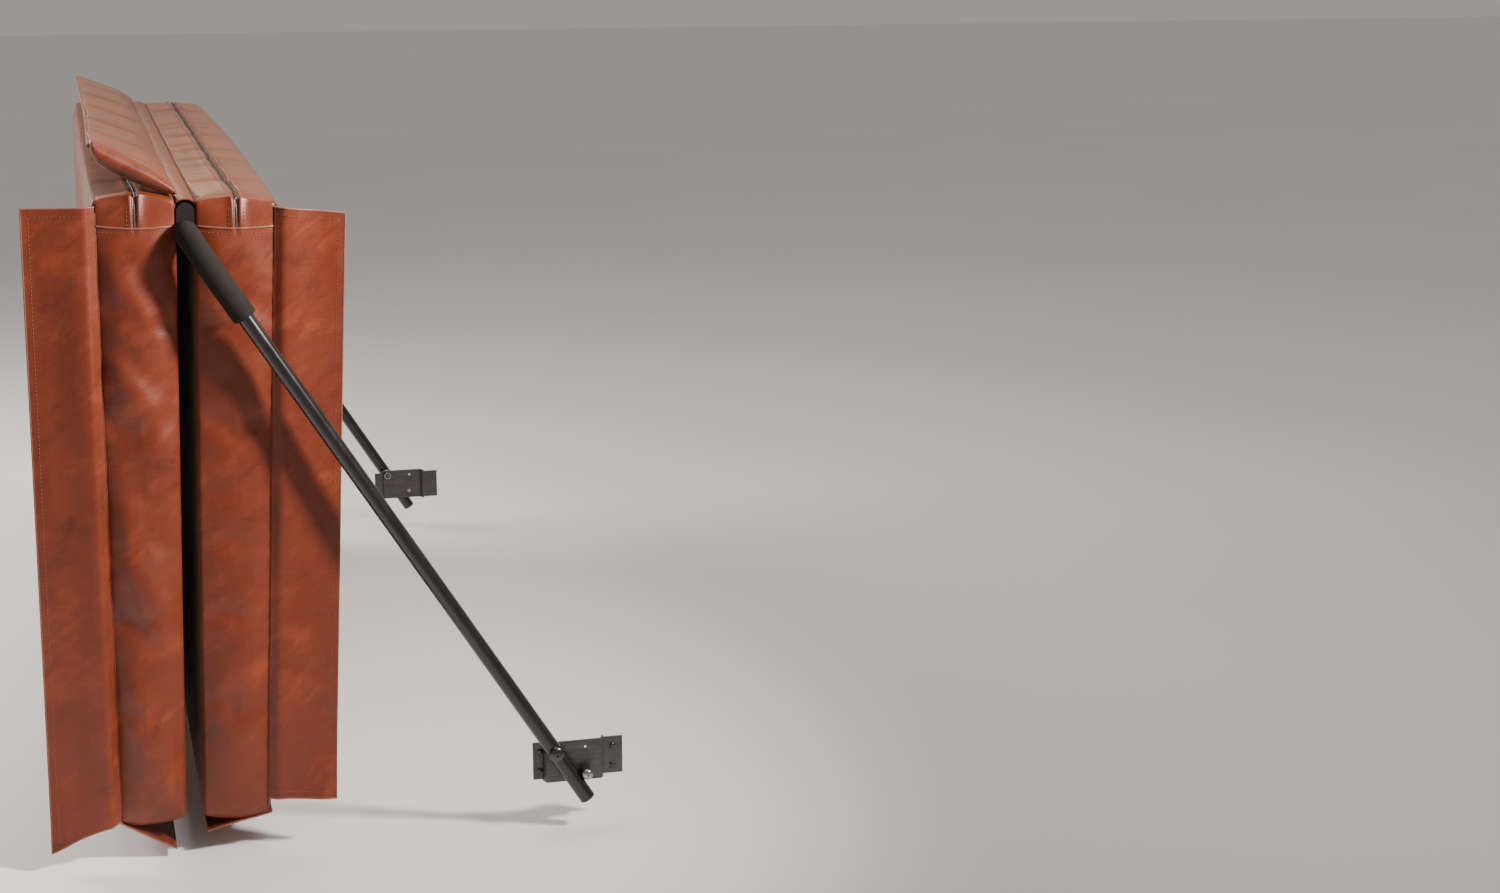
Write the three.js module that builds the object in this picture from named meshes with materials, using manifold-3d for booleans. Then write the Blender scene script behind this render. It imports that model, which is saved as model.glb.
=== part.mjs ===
// Spa cover on a side-mounted cover lifter, folded and parked beside the tub.
// The cover is two tapered foam halves in a vinyl casing, joined by a hinge strip along one edge.
// The strip hangs over the lifter's crossbar, so the halves hang down with their tops facing each other.
//
// Millimetres, +Z up. X runs along the front of the tub, away from the parked cover, and Y runs from
// front to back. The origin is on the fixing face of the front bracket, midway between the two screws
// of its outer wing.

import * as THREE from "three";
import { mergeVertices } from "three/addons/utils/BufferGeometryUtils.js";
import Module from "manifold-3d";

const wasm = await Module();
wasm.setup();

const degrees = Math.PI / 180;
const clearance = 0.3; // between pieces that touch

// Lifter
const tubeRadius = 14;
const tubeWall = 1.5;
const armLength = 1128; // pivot to crossbar, centre to centre
const armLean = 32.2 * degrees; // from upright, towards the parked cover
const armTail = 107; // below the pivot
const bendRadius = 50; // of the elbow, at the tube's centre line
const elbowGap = 3.6; // between the elbow and the cover's end
const stubLength = 130; // of each arm's share of the crossbar
const swageLength = 60; // pushed into the centre tube
const swageWall = 1.5;
const gripRadius = 21;
const gripLength = 115; // below the elbow

// Brackets, a folded hat section
const sheet = 3;
const webRaise = 14; // outside of the web above the outside of the wings
const bracketAbovePivot = 12.5;
const bracketHeight = 76;
const wingTrim = 3; // wings are this much shorter than the web at each end
const webLeft = 11.5; // web edges, from the pivot
const webRight = 88.5;
const fold = 5; // width of each sloping wall
const innerWing = 18.5;
const outerWing = 37;
const innerScrewInset = 12; // from the inner wing's free edge
const wingScrewSpacing = 37;
const spareHole = { x: 59, z: -1, radius: 2.5 };

// Pivot and stop hardware
const boltRadius = 5;
const domeRadius = 14.5;
const domeHeight = 8;
const washerThickness = 2;
const nutAcrossFlats = 17;
const nutHeight = 7;
const boltTip = 2; // past the nut
const bumperRadius = 9.8;
const bumperHeight = 26;
const bumperDrop = 68; // from the pivot, along the tail
const stopScrewRadius = 2.5;
const wingScrewRadius = 2.5;
const screwHeadRadius = 5;
const screwHeadHeight = 3;

// Cover
const coverDepth = 2200; // along the fold
const halfHeight = 1085; // fold to free edge
const foldThickness = 136;
const rimThickness = 117;
const vinyl = 2;
const stripThickness = 2.5;
const stripRise = 49.4; // underside of the hinge strip, above the crossbar's centre line
const sleeveDroop = 24; // of the crossbar's foam sleeve, below that line
const sleeveSide = 0.4; // what is left of the sleeve's wall where the halves squeeze it
const lean = 1.8 * degrees; // of the hanging cover, feet away from the tub
const foldReturn = 42; // fold bands turned down over the ends
const zipWidth = 12;
const skirtWidth = 114;
const skirtTopDrop = 10; // top hem of the end skirts, below the fold
const sideSkirtDip = { inner: 13 * degrees, outer: 28 * degrees }; // tucked side skirts, below level
const skirtEndGap = 1;

// Inside each half
const film = 1;
const channelWall = 1.2;
const channelFlange = 38;

// Heat seal, a padded strip that lies over the outer half's fold
const sealOffset = 11; // its seam, from the middle of the hinge strip
const sealWidth = 150;
const sealThickness = 22;
const sealTilt = 20 * degrees; // above level
const sealCorner = 8;
const sealStandoff = 0.5;

const round = 20; // sides of a round piece

const looks = {
  vinyl: { color: 0x8a4526, roughness: 0.45, metalness: 0 },
  foam: { color: 0xeceae2, roughness: 0.9, metalness: 0 },
  film: { color: 0xd5dde2, roughness: 0.25, metalness: 0 },
  galvanised: { color: 0xaeb2b4, roughness: 0.4, metalness: 0.9 },
  blackTube: { color: 0x101011, roughness: 0.2, metalness: 0.5 },
  blackSheet: { color: 0x2b2a29, roughness: 0.45, metalness: 0.5 },
  softGrip: { color: 0x33302d, roughness: 0.95, metalness: 0 },
  rubber: { color: 0x151515, roughness: 0.7, metalness: 0 },
  plastic: { color: 0x1b1b1c, roughness: 0.5, metalness: 0 },
  nylon: { color: 0xe0ddd2, roughness: 0.5, metalness: 0 },
  boltSteel: { color: 0x8c8d90, roughness: 0.25, metalness: 1 },
};

const part = new THREE.Group();

// ---------------------------------------------------------------- helpers

function add(group, name, geometry, look) {
  const mesh = new THREE.Mesh(geometry, new THREE.MeshStandardMaterial(looks[look]));
  mesh.name = name;
  group.add(mesh);
  return mesh;
}

function groupAt(parent, x, y, z) {
  const group = new THREE.Group();
  group.position.set(x, y, z);
  parent.add(group);
  return group;
}

function outline(points) {
  return new THREE.Shape(points.map(([a, b]) => new THREE.Vector2(a, b)));
}

function circle(radius, x = 0, y = 0) {
  return new THREE.Path().absarc(x, y, radius, 0, 2 * Math.PI);
}

// A shape drawn in X and Z, extruded in Y.
function extrudeY(shape, from, to) {
  const options = { depth: to - from, bevelEnabled: false, curveSegments: round / 2 };
  const geometry = new THREE.ExtrudeGeometry(shape, options);
  return geometry.rotateX(Math.PI / 2).translate(0, to, 0);
}

// A shape drawn in Y and Z, extruded in X.
function extrudeX(shape, from, to) {
  const geometry = new THREE.ExtrudeGeometry(shape, { depth: to - from, bevelEnabled: false });
  const turn = new THREE.Matrix4().makeBasis(
    new THREE.Vector3(0, 1, 0),
    new THREE.Vector3(0, 0, 1),
    new THREE.Vector3(1, 0, 0),
  );
  return geometry.applyMatrix4(turn).translate(from, 0, 0);
}

// A profile of [radius, y] points turned about the Y axis.
function turned(profile) {
  const points = profile.map(([radius, y]) => new THREE.Vector2(radius, y));
  return new THREE.LatheGeometry(points, round);
}

function rodY(radius, from, to) {
  return turned([
    [0, from],
    [radius, from],
    [radius, to],
    [0, to],
  ]);
}

function ringY(inner, outer, from, to) {
  return turned([
    [inner, from],
    [outer, from],
    [outer, to],
    [inner, to],
    [inner, from],
  ]);
}

function solid(geometry) {
  const bare = new THREE.BufferGeometry();
  const plain = geometry.index ? geometry.toNonIndexed() : geometry;
  bare.setAttribute("position", plain.getAttribute("position"));
  const merged = mergeVertices(bare, 1e-4);
  return new wasm.Manifold(
    new wasm.Mesh({
      numProp: 3,
      vertProperties: merged.attributes.position.array,
      triVerts: new Uint32Array(merged.index.array),
    }),
  );
}

function geometryOf(made) {
  const mesh = made.getMesh();
  const geometry = new THREE.BufferGeometry();
  geometry.setAttribute("position", new THREE.BufferAttribute(mesh.vertProperties, 3));
  geometry.setIndex(new THREE.BufferAttribute(mesh.triVerts, 1));
  const flat = geometry.toNonIndexed();
  flat.computeVertexNormals();
  return flat;
}

function cut(geometry, tools) {
  return geometryOf(tools.reduce((left, tool) => left.subtract(solid(tool)), solid(geometry)));
}

function join(geometries) {
  return geometryOf(geometries.map(solid).reduce((left, right) => left.add(right)));
}

// A pan head of a screw or bolt, its flat side at y = 0 and its crown towards -Y, with a shank to +Y.
function domeHeaded(headRadius, headHeight, shankRadius, shankLength) {
  const crown = [];
  const steps = 4;
  for (let i = 0; i <= steps; i++) {
    const angle = (i / steps) * (Math.PI / 2);
    crown.push([headRadius * Math.sin(angle), -headHeight * Math.cos(angle)]);
  }
  return turned([...crown, [headRadius, 0], [shankRadius, 0], [shankRadius, shankLength], [0, shankLength]]
    .filter((point, i, all) => i === 0 || point[0] !== all[i - 1][0] || point[1] !== all[i - 1][1]));
}

// A curve that steps through the given stations, so that a straight run needs only its two ends.
class Stations extends THREE.Curve {
  constructor(points, tangents) {
    super();
    this.points = points;
    this.tangents = tangents;
  }
  index(u) {
    return Math.round(u * (this.points.length - 1));
  }
  getPointAt(u) {
    return this.points[this.index(u)].clone();
  }
  getTangentAt(u) {
    return this.tangents[this.index(u)].clone();
  }
}

// ---------------------------------------------------------------- lifter

// Places measured from the front bracket's fixing face; +Y points inwards, to the cover.
const pivotX = -(webRight + fold + outerWing / 2);
const pivotZ = bracketHeight / 2 - bracketAbovePivot;
const webFace = -(sheet + webRaise);
const armPlane = webFace - clearance - washerThickness - clearance - tubeRadius;
const armUp = new THREE.Vector3(-Math.sin(armLean), 0, Math.cos(armLean));
const armSide = new THREE.Vector3(Math.cos(armLean), 0, Math.sin(armLean));
const inwards = new THREE.Vector3(0, 1, 0);
const pivot = new THREE.Vector3(pivotX, armPlane, pivotZ);
const corner = pivot.clone().addScaledVector(armUp, armLength);
const coverFront = armPlane + bendRadius + elbowGap;
const bracketSpan = coverDepth + 2 * coverFront; // between the fixing faces of the two brackets
const stubEnd = armPlane + bendRadius + stubLength;

function bracket() {
  const left = pivotX - webLeft - fold - innerWing;
  const right = pivotX + webRight + fold + outerWing;
  const webStart = pivotX - webLeft;
  const webEnd = pivotX + webRight;
  const wallShift = sheet / 2; // keeps the sloping walls close to the sheet's thickness
  const profile = [
    [left, 0],
    [left, -sheet],
    [webStart - fold - wallShift, -sheet],
    [webStart - wallShift, webFace],
    [webEnd + wallShift, webFace],
    [webEnd + fold + wallShift, -sheet],
    [right, -sheet],
    [right, 0],
    [webEnd + fold - wallShift, 0],
    [webEnd - wallShift, webFace + sheet],
    [webStart + wallShift, webFace + sheet],
    [webStart - fold + wallShift, 0],
  ];
  const options = { depth: bracketHeight, bevelEnabled: false };
  const hat = new THREE.ExtrudeGeometry(outline(profile), options).translate(0, 0, -bracketHeight / 2);
  const trims = [
    [left - sheet, webStart - fold - wallShift],
    [webEnd + fold + wallShift, right + sheet],
  ].flatMap(([from, to]) =>
    [-1, 1].map((end) =>
      new THREE.BoxGeometry(to - from, 4 * sheet, 2 * wingTrim)
        .translate((from + to) / 2, 0, (end * bracketHeight) / 2),
    ),
  );
  const through = (radius, x, z) =>
    rodY(radius, webFace - sheet, sheet).translate(x, 0, z);
  const holes = [
    ...trims,
    through(boltRadius + clearance, pivotX, pivotZ),
    through(spareHole.radius, pivotX + spareHole.x, pivotZ + spareHole.z),
    through(stopScrewRadius + clearance, stop.x, stop.z),
    ...wingScrews.map(([x, z]) => through(wingScrewRadius + clearance, x, z)),
  ];
  return cut(hat, holes);
}

const stop = pivot
  .clone()
  .addScaledVector(armUp, -bumperDrop)
  .addScaledVector(armSide, tubeRadius + clearance + bumperRadius);

const wingScrews = [pivotX - webLeft - fold - innerWing + innerScrewInset, 0].flatMap((x) => [
  [x, wingScrewSpacing / 2],
  [x, -wingScrewSpacing / 2],
]);

// The arm's centre line, from a point below or above the pivot, round the elbow and along the crossbar.
function armLine(from, along) {
  const start = pivot.clone().addScaledVector(armUp, from);
  const points = [start];
  const tangents = [armUp.clone()];
  const centre = corner.clone().addScaledVector(armUp, -bendRadius).addScaledVector(inwards, bendRadius);
  const steps = 9;
  for (let i = 0; i <= steps; i++) {
    const turn = (i / steps) * (Math.PI / 2);
    points.push(
      centre
        .clone()
        .addScaledVector(inwards, -bendRadius * Math.cos(turn))
        .addScaledVector(armUp, bendRadius * Math.sin(turn)),
    );
    tangents.push(
      armUp.clone().multiplyScalar(Math.cos(turn)).addScaledVector(inwards, Math.sin(turn)).normalize(),
    );
  }
  if (along > 0) {
    points.push(points.at(-1).clone().addScaledVector(inwards, along));
    tangents.push(inwards.clone());
  }
  return new Stations(points, tangents);
}

function tubeAlong(line, outer, inner) {
  const ring = new THREE.Shape().absarc(0, 0, outer, 0, 2 * Math.PI);
  ring.holes.push(circle(inner));
  return new THREE.ExtrudeGeometry(ring, {
    steps: line.points.length - 1,
    extrudePath: line,
    curveSegments: round / 2,
    bevelEnabled: false,
  });
}

function arm() {
  const tube = tubeAlong(armLine(-armTail, stubLength), tubeRadius, tubeRadius - tubeWall);
  const swageRadius = tubeRadius - tubeWall - clearance;
  const root = tubeRadius - tubeWall / 2;
  const swage = turned([
    [swageRadius - swageWall, stubEnd - tubeWall],
    [root, stubEnd - tubeWall],
    [root, stubEnd - tubeWall / 3],
    [swageRadius, stubEnd],
    [swageRadius, stubEnd + swageLength],
    [swageRadius - swageWall, stubEnd + swageLength],
    [swageRadius - swageWall, stubEnd - tubeWall],
  ]).translate(corner.x, 0, corner.z);
  const boltHole = rodY(boltRadius + clearance, -2 * tubeRadius, 2 * tubeRadius);
  return cut(join([tube, swage]), [boltHole.translate(pivot.x, pivot.y, pivot.z)]);
}

function grip() {
  const line = armLine(armLength - bendRadius - gripLength, 0);
  return tubeAlong(line, gripRadius, tubeRadius + clearance);
}

function tailPlug() {
  const plug = turned([
    [0, -3],
    [tubeRadius, -3],
    [tubeRadius, -clearance],
    [tubeRadius - tubeWall - clearance, -clearance],
    [tubeRadius - tubeWall - clearance, 14],
    [0, 14],
  ]);
  const end = pivot.clone().addScaledVector(armUp, -armTail);
  return plug
    .applyQuaternion(new THREE.Quaternion().setFromUnitVectors(inwards, armUp))
    .translate(end.x, end.y, end.z);
}

function pivotBolt() {
  const seat = armPlane - tubeRadius - clearance;
  const tip = webFace + sheet + clearance + nutHeight + boltTip;
  return domeHeaded(domeRadius, domeHeight, boltRadius, tip - seat).translate(pivotX, seat, pivotZ);
}

function pivotNut() {
  const across = nutAcrossFlats / 2 / Math.cos(Math.PI / 6);
  const hexagon = outline([0, 1, 2, 3, 4, 5].map((i) => [
    across * Math.cos((i * Math.PI) / 3),
    across * Math.sin((i * Math.PI) / 3),
  ]));
  hexagon.holes.push(circle(boltRadius + clearance));
  const seat = webFace + sheet + clearance;
  return extrudeY(hexagon, seat, seat + nutHeight).translate(pivotX, 0, pivotZ);
}

function lifterSide(name, y, facing) {
  const side = groupAt(part, 0, y, 0);
  side.scale.y = facing;
  const seat = webFace - clearance;
  const put = (geometry, place) => geometry.translate(place.x, 0, place.z);

  add(side, `${name}_bracket`, bracket(), "blackSheet");
  add(side, `${name}_arm`, arm(), "blackTube");
  add(side, `${name}_grip`, grip(), "softGrip");
  add(side, `${name}_tail_plug`, tailPlug(), "plastic");
  add(side, `${name}_pivot_bolt`, pivotBolt(), "boltSteel");
  const washer = ringY(boltRadius + clearance, tubeRadius, seat - washerThickness, seat);
  add(side, `${name}_pivot_washer`, put(washer, pivot), "nylon");
  add(side, `${name}_pivot_nut`, pivotNut(), "boltSteel");
  const bumper = ringY(stopScrewRadius + clearance, bumperRadius, seat - bumperHeight, seat);
  add(side, `${name}_stop_bumper`, put(bumper, stop), "rubber");
  const stopHead = seat - bumperHeight - clearance;
  const stopLength = -stopHead + webFace + sheet + boltTip;
  const stopScrew = domeHeaded(bumperRadius, 2 * screwHeadHeight, stopScrewRadius, stopLength);
  add(side, `${name}_stop_screw`, stopScrew.translate(stop.x, stopHead, stop.z), "boltSteel");
  wingScrews.forEach(([x, z], i) => {
    const shank = sheet + clearance;
    const screw = domeHeaded(screwHeadRadius, screwHeadHeight, wingScrewRadius, shank);
    screw.translate(x, -shank, z);
    add(side, `${name}_bracket_screw_${i + 1}`, screw, "boltSteel");
  });
}

function crossbar() {
  const from = stubEnd + clearance;
  const tube = ringY(tubeRadius - tubeWall, tubeRadius, from, bracketSpan - from);
  add(part, "crossbar_tube", tube.translate(corner.x, 0, corner.z), "blackTube");
}

// ---------------------------------------------------------------- cover

const foldTop = stripRise + stripThickness; // above the crossbar's centre line
const sleeveReach = tubeRadius + clearance + sleeveSide;
const stripWidth = 2 * (sleeveReach + clearance);
const skinInset = vinyl + clearance;
const filmInset = skinInset + film;
const foamInset = filmInset + clearance;
const channelInset = foamInset + channelWall;

function thicknessAt(drop) {
  return foldThickness + ((rimThickness - foldThickness) * drop) / halfHeight;
}

// A half's section, drawn in from its outside by an inset. X runs outwards from the gap, Z down from the fold.
function section(inset) {
  const low = halfHeight - inset;
  return [
    [inset, -inset],
    [thicknessAt(inset) - inset, -inset],
    [thicknessAt(low) - inset, -low],
    [inset, -low],
  ];
}

// A length of band that runs along the fold and turns down over both ends.
function foldedBand(from, to) {
  const staple = [
    [0, -foldReturn],
    [0, 0],
    [coverDepth, 0],
    [coverDepth, -foldReturn],
    [coverDepth - vinyl, -foldReturn],
    [coverDepth - vinyl, -vinyl],
    [vinyl, -vinyl],
    [vinyl, -foldReturn],
  ];
  return extrudeX(outline(staple), from, to);
}

function foamCore() {
  const shoulder = foamInset + channelFlange + clearance;
  const rebate = channelInset + clearance;
  const low = halfHeight - foamInset;
  const points = [
    [rebate, -rebate],
    [thicknessAt(rebate) - rebate, -rebate],
    [thicknessAt(shoulder) - rebate, -shoulder],
    [thicknessAt(shoulder) - foamInset, -shoulder],
    [thicknessAt(low) - foamInset, -low],
    [foamInset, -low],
    [foamInset, -shoulder],
    [rebate, -shoulder],
  ];
  return extrudeY(outline(points), foamInset, coverDepth - foamInset);
}

function vapourWrap() {
  const sleeve = outline(section(skinInset));
  sleeve.holes.push(new THREE.Path(outline(section(filmInset).reverse()).getPoints()));
  return extrudeY(sleeve, skinInset, coverDepth - skinInset);
}

function edgeChannel() {
  const foot = foamInset + channelFlange;
  const far = (drop, inset) => [thicknessAt(drop) - inset, -drop];
  const points = [
    [foamInset, -foot],
    [foamInset, -foamInset],
    far(foamInset, foamInset),
    far(foot, foamInset),
    far(foot, channelInset),
    far(channelInset, channelInset),
    [channelInset, -channelInset],
    [channelInset, -foot],
  ];
  return extrudeY(outline(points), foamInset, coverDepth - foamInset);
}

function topPanel() {
  return extrudeY(outline([[0, 0], [vinyl, 0], [vinyl, -halfHeight], [0, -halfHeight]]), 0, coverDepth);
}

function undersidePanel() {
  const points = [
    [foldThickness - vinyl, 0],
    [foldThickness, 0],
    [rimThickness, -halfHeight],
    [rimThickness - vinyl, -halfHeight],
  ];
  return extrudeY(outline(points), 0, coverDepth);
}

function rimBand() {
  const low = halfHeight - vinyl;
  const points = [
    [skinInset, -low],
    [thicknessAt(low) - skinInset, -low],
    [rimThickness - skinInset, -halfHeight],
    [skinInset, -halfHeight],
  ];
  return extrudeY(outline(points), 0, coverDepth);
}

function endBand() {
  const high = foldReturn + clearance;
  const low = halfHeight - skinInset;
  const points = [
    [skinInset, -high],
    [thicknessAt(high) - skinInset, -high],
    [thicknessAt(low) - skinInset, -low],
    [skinInset, -low],
  ];
  return extrudeY(outline(points), 0, vinyl);
}

// A skirt sewn down the outer edge of an end face. It stands out from the seam, or lies folded over the face.
function endSkirt(folded) {
  const seam = (drop) => thicknessAt(drop) + (folded ? 0 : clearance);
  const reach = folded ? -skirtWidth : skirtWidth;
  const points = [
    [seam(skirtTopDrop), -skirtTopDrop],
    [seam(skirtTopDrop) + reach, -skirtTopDrop],
    [seam(halfHeight) + reach, -halfHeight],
    [seam(halfHeight), -halfHeight],
  ];
  const outside = folded ? -(clearance + vinyl) : 0;
  return extrudeY(outline(points), outside, outside + vinyl);
}

function sideSkirt(half, name) {
  const hinge = groupAt(half, rimThickness + clearance, 0, -halfHeight - clearance);
  hinge.rotation.y = Math.PI - sideSkirtDip[name];
  const length = coverDepth - 2 * (vinyl + skirtEndGap);
  const flap = new THREE.BoxGeometry(skirtWidth, length, vinyl);
  flap.translate(skirtWidth / 2, coverDepth / 2, vinyl / 2);
  add(hinge, `${name}_side_skirt`, flap, "vinyl");
}

function coverHalf(stack, name, facing) {
  const half = groupAt(stack, (facing * stripWidth) / 2, 0, foldTop);
  half.scale.x = facing;

  add(half, `${name}_foam_core`, foamCore(), "foam");
  add(half, `${name}_vapour_wrap`, vapourWrap(), "film");
  add(half, `${name}_edge_channel`, edgeChannel(), "galvanised");
  add(half, `${name}_top_panel`, topPanel(), "vinyl");
  add(half, `${name}_underside_panel`, undersidePanel(), "vinyl");
  add(half, `${name}_rim_band`, rimBand(), "vinyl");

  const middle = foldThickness / 2;
  const zipEdge = zipWidth / 2;
  const farEdge = thicknessAt(foldReturn) - skinInset;
  add(half, `${name}_fold_band_top`, foldedBand(skinInset, middle - zipEdge - clearance), "vinyl");
  add(half, `${name}_fold_band_bottom`, foldedBand(middle + zipEdge + clearance, farEdge), "vinyl");
  add(half, `${name}_zipper`, foldedBand(middle - zipEdge, middle + zipEdge), "plastic");

  for (const [end, y, inward, folded] of [["front", 0, 1, false], ["back", coverDepth, -1, true]]) {
    const face = groupAt(half, 0, y, 0);
    face.scale.y = inward;
    add(face, `${name}_${end}_band`, endBand(), "vinyl");
    add(face, `${name}_${end}_skirt`, endSkirt(folded), "vinyl");
  }
  sideSkirt(half, name);
}

function hingeStrip(stack) {
  const reach = stripWidth / 2 - clearance;
  const strip = new THREE.BoxGeometry(2 * reach, coverDepth, stripThickness);
  strip.translate(0, coverDepth / 2, foldTop - stripThickness / 2);
  add(stack, "hinge_strip", strip, "vinyl");
}

// The foam sleeve round the crossbar, squeezed to an oval between the halves. The strip rests on it.
function crossbarSleeve(stack) {
  const high = stripRise - clearance - sleeveReach;
  const low = sleeveReach - sleeveDroop;
  const oval = new THREE.Shape();
  oval.absarc(0, high, sleeveReach, 0, Math.PI);
  oval.absarc(0, low, sleeveReach, Math.PI, 2 * Math.PI);
  oval.holes.push(circle(tubeRadius + clearance));
  add(stack, "crossbar_sleeve", extrudeY(oval, 0, coverDepth), "softGrip");
}

// A rounded rectangle, drawn up from the seam.
function sealOutline(inset) {
  const r = sealCorner - inset;
  const low = sealStandoff + inset;
  const high = sealStandoff + sealWidth - inset;
  const near = sealStandoff + inset;
  const far = sealStandoff + sealThickness - inset;
  const shape = new THREE.Shape();
  shape.moveTo(near + r, low);
  shape.lineTo(far - r, low);
  shape.absarc(far - r, low + r, r, -Math.PI / 2, 0);
  shape.lineTo(far, high - r);
  shape.absarc(far - r, high - r, r, 0, Math.PI / 2);
  shape.lineTo(near + r, high);
  shape.absarc(near + r, high - r, r, Math.PI / 2, Math.PI);
  shape.lineTo(near, low + r);
  shape.absarc(near + r, low + r, r, Math.PI, 1.5 * Math.PI);
  return shape;
}

function heatSeal(stack) {
  const seam = groupAt(stack, -sealOffset, 0, foldTop + clearance);
  seam.rotation.y = -(Math.PI / 2 - sealTilt);
  const casing = sealOutline(0);
  casing.holes.push(new THREE.Path(sealOutline(vinyl).getPoints(4)));
  add(seam, "heat_seal_casing", extrudeY(casing, 0, coverDepth), "vinyl");
  add(seam, "heat_seal_foam", extrudeY(sealOutline(skinInset), vinyl, coverDepth - vinyl), "foam");
}

// ---------------------------------------------------------------- assembly

lifterSide("front", 0, 1);
lifterSide("rear", bracketSpan, -1);
crossbar();

const stack = groupAt(part, corner.x, coverFront, corner.z);
stack.rotation.y = lean;
hingeStrip(stack);
crossbarSleeve(stack);
heatSeal(stack);
coverHalf(stack, "inner", 1);
coverHalf(stack, "outer", -1);

export default part;
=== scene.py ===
import math

import bmesh
import bpy
import numpy as np
from bpy.props import FloatProperty, FloatVectorProperty, IntProperty, PointerProperty
from mathutils import Matrix, Vector, noise
from mathutils.bvhtree import BVHTree


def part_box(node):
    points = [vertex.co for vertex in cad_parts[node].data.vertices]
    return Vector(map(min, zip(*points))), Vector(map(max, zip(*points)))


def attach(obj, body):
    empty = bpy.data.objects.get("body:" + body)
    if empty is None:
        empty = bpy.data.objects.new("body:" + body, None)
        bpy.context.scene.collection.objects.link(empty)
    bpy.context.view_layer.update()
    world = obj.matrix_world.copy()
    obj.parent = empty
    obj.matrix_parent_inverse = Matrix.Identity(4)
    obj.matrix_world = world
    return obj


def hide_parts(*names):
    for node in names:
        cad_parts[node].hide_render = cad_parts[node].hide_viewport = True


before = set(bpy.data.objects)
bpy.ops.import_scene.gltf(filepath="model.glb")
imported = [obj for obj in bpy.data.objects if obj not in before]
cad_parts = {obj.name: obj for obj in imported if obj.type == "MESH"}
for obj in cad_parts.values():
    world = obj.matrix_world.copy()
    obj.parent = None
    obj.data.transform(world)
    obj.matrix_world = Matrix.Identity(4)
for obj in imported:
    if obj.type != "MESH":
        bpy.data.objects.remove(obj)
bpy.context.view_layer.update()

bl_info = {
    "name": "Spa Cover on a Lifter",
    "version": (1, 0, 0),
    "blender": (4, 5, 0),
    "location": "View3D > Sidebar > Spa Cover",
    "description": "A folded vinyl spa cover hanging over the crossbar of its lifter",
    "category": "Mesh",
}

# ---- Places, from the frame


def middle(node):
    low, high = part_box(node)
    return (low + high) / 2


BAR = middle("crossbar_tube")
STRIP = middle("hinge_strip")
LEAN = math.atan2(STRIP.x - BAR.x, STRIP.z - BAR.z)
# The hanging cover's own frame: its origin is on the crossbar's axis at the cover's front end.
STACK = Matrix.Translation((BAR.x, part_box("hinge_strip")[0].y, BAR.z)) @ Matrix.Rotation(LEAN, 4, "Y")


def stack_box(node):
    """Lowest and highest corner of a CAD node in the hanging cover's frame."""
    back = STACK.inverted()
    points = np.array([back @ v.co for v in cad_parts[node].data.vertices])
    return Vector(points.min(0)), Vector(points.max(0))


PANEL_LOW, PANEL_HIGH = stack_box("inner_top_panel")
GAP = 2 * PANEL_LOW.x
FOLD_TOP = PANEL_HIGH.z
HEIGHT = PANEL_HIGH.z - PANEL_LOW.z
DEPTH = PANEL_HIGH.y - PANEL_LOW.y
THICK = stack_box("inner_underside_panel")[1].x - PANEL_LOW.x
RIM_SEAM = stack_box("inner_rim_band")[1].x - PANEL_LOW.x
FOLD_RETURN = FOLD_TOP - stack_box("inner_zipper")[0].z
SKIRT_TOP = FOLD_TOP - stack_box("inner_front_skirt")[1].z
SPAN_MIDDLE = (middle("front_bracket").y + middle("rear_bracket").y) / 2

PIVOT = middle("front_pivot_washer")
ARM_PLANE = middle("front_tail_plug").y
ARM_REACH = (Vector((BAR.x, 0, BAR.z)) - Vector((PIVOT.x, 0, PIVOT.z))).length
ARM_LEAN = math.atan2(PIVOT.x - BAR.x, BAR.z - PIVOT.z)

HALVES = {"inner": 1, "outer": -1}


def half_frame(half):
    """From a half's axes (X out from the gap, Y to the back, Z up from the fold) to the shared frame."""
    facing = HALVES[half]
    shift = Matrix.Translation((facing * GAP / 2, 0, FOLD_TOP))
    return STACK @ shift @ Matrix.Diagonal((facing, 1, 1, 1))


def thickness_at(drop):
    return THICK + (RIM_SEAM - THICK) * drop / HEIGHT


def clamp(value):
    return max(0.0, min(1.0, value))


def hump(at, centre, width):
    """A smooth rise from 0 to 1 and back, around a centre."""
    return math.exp(-(((at - centre) / width) ** 2))


def drift(x, y, z):
    """Smooth noise at a point, from -1 to 1."""
    return noise.noise(Vector((x, y, z)))


# ---- Sizes and colours a user would change


def number(name, about, default, **kind):
    return FloatProperty(name=name, description=about, default=default, **kind)


def metres(name, about, default):
    return number(name, about, default, unit="LENGTH")


def degrees(name, about, default):
    return number(name, about, math.radians(default), subtype="ANGLE")


def colour(name, about, default):
    return FloatVectorProperty(name=name, description=about, default=default, subtype="COLOR")


class SpaCoverSizes(bpy.types.PropertyGroup):
    corner: metres("Corner radius", "Rounding of a half's edges", 0.0085)
    pressure: number("Puff pressure", "Pressure under the vinyl", 2.0)
    puff: metres("Puff limit", "How far the vinyl may stand off", 0.009)
    slack: number("Slack", "Share of spare vinyl, which makes the wrinkles", 0.012)
    crease: metres("Crease depth", "Depth of the soft folds on the end faces", 0.015)
    cloth: metres("Vinyl thickness", "Thickness of the skirts' vinyl", 0.0016)
    piping: metres("Piping radius", "Radius of the rolled edges", 0.0018)
    stitch: metres("Stitch pitch", "Distance from stitch to stitch", 0.007)
    skirt: metres("Skirt width", "Width of the skirts", 0.114)
    seal_front: degrees("Seal tilt, front", "Tilt of the heat seal at its front end", 27)
    seal_back: degrees("Seal tilt, back", "Tilt of the heat seal at its back end", 20)


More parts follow.
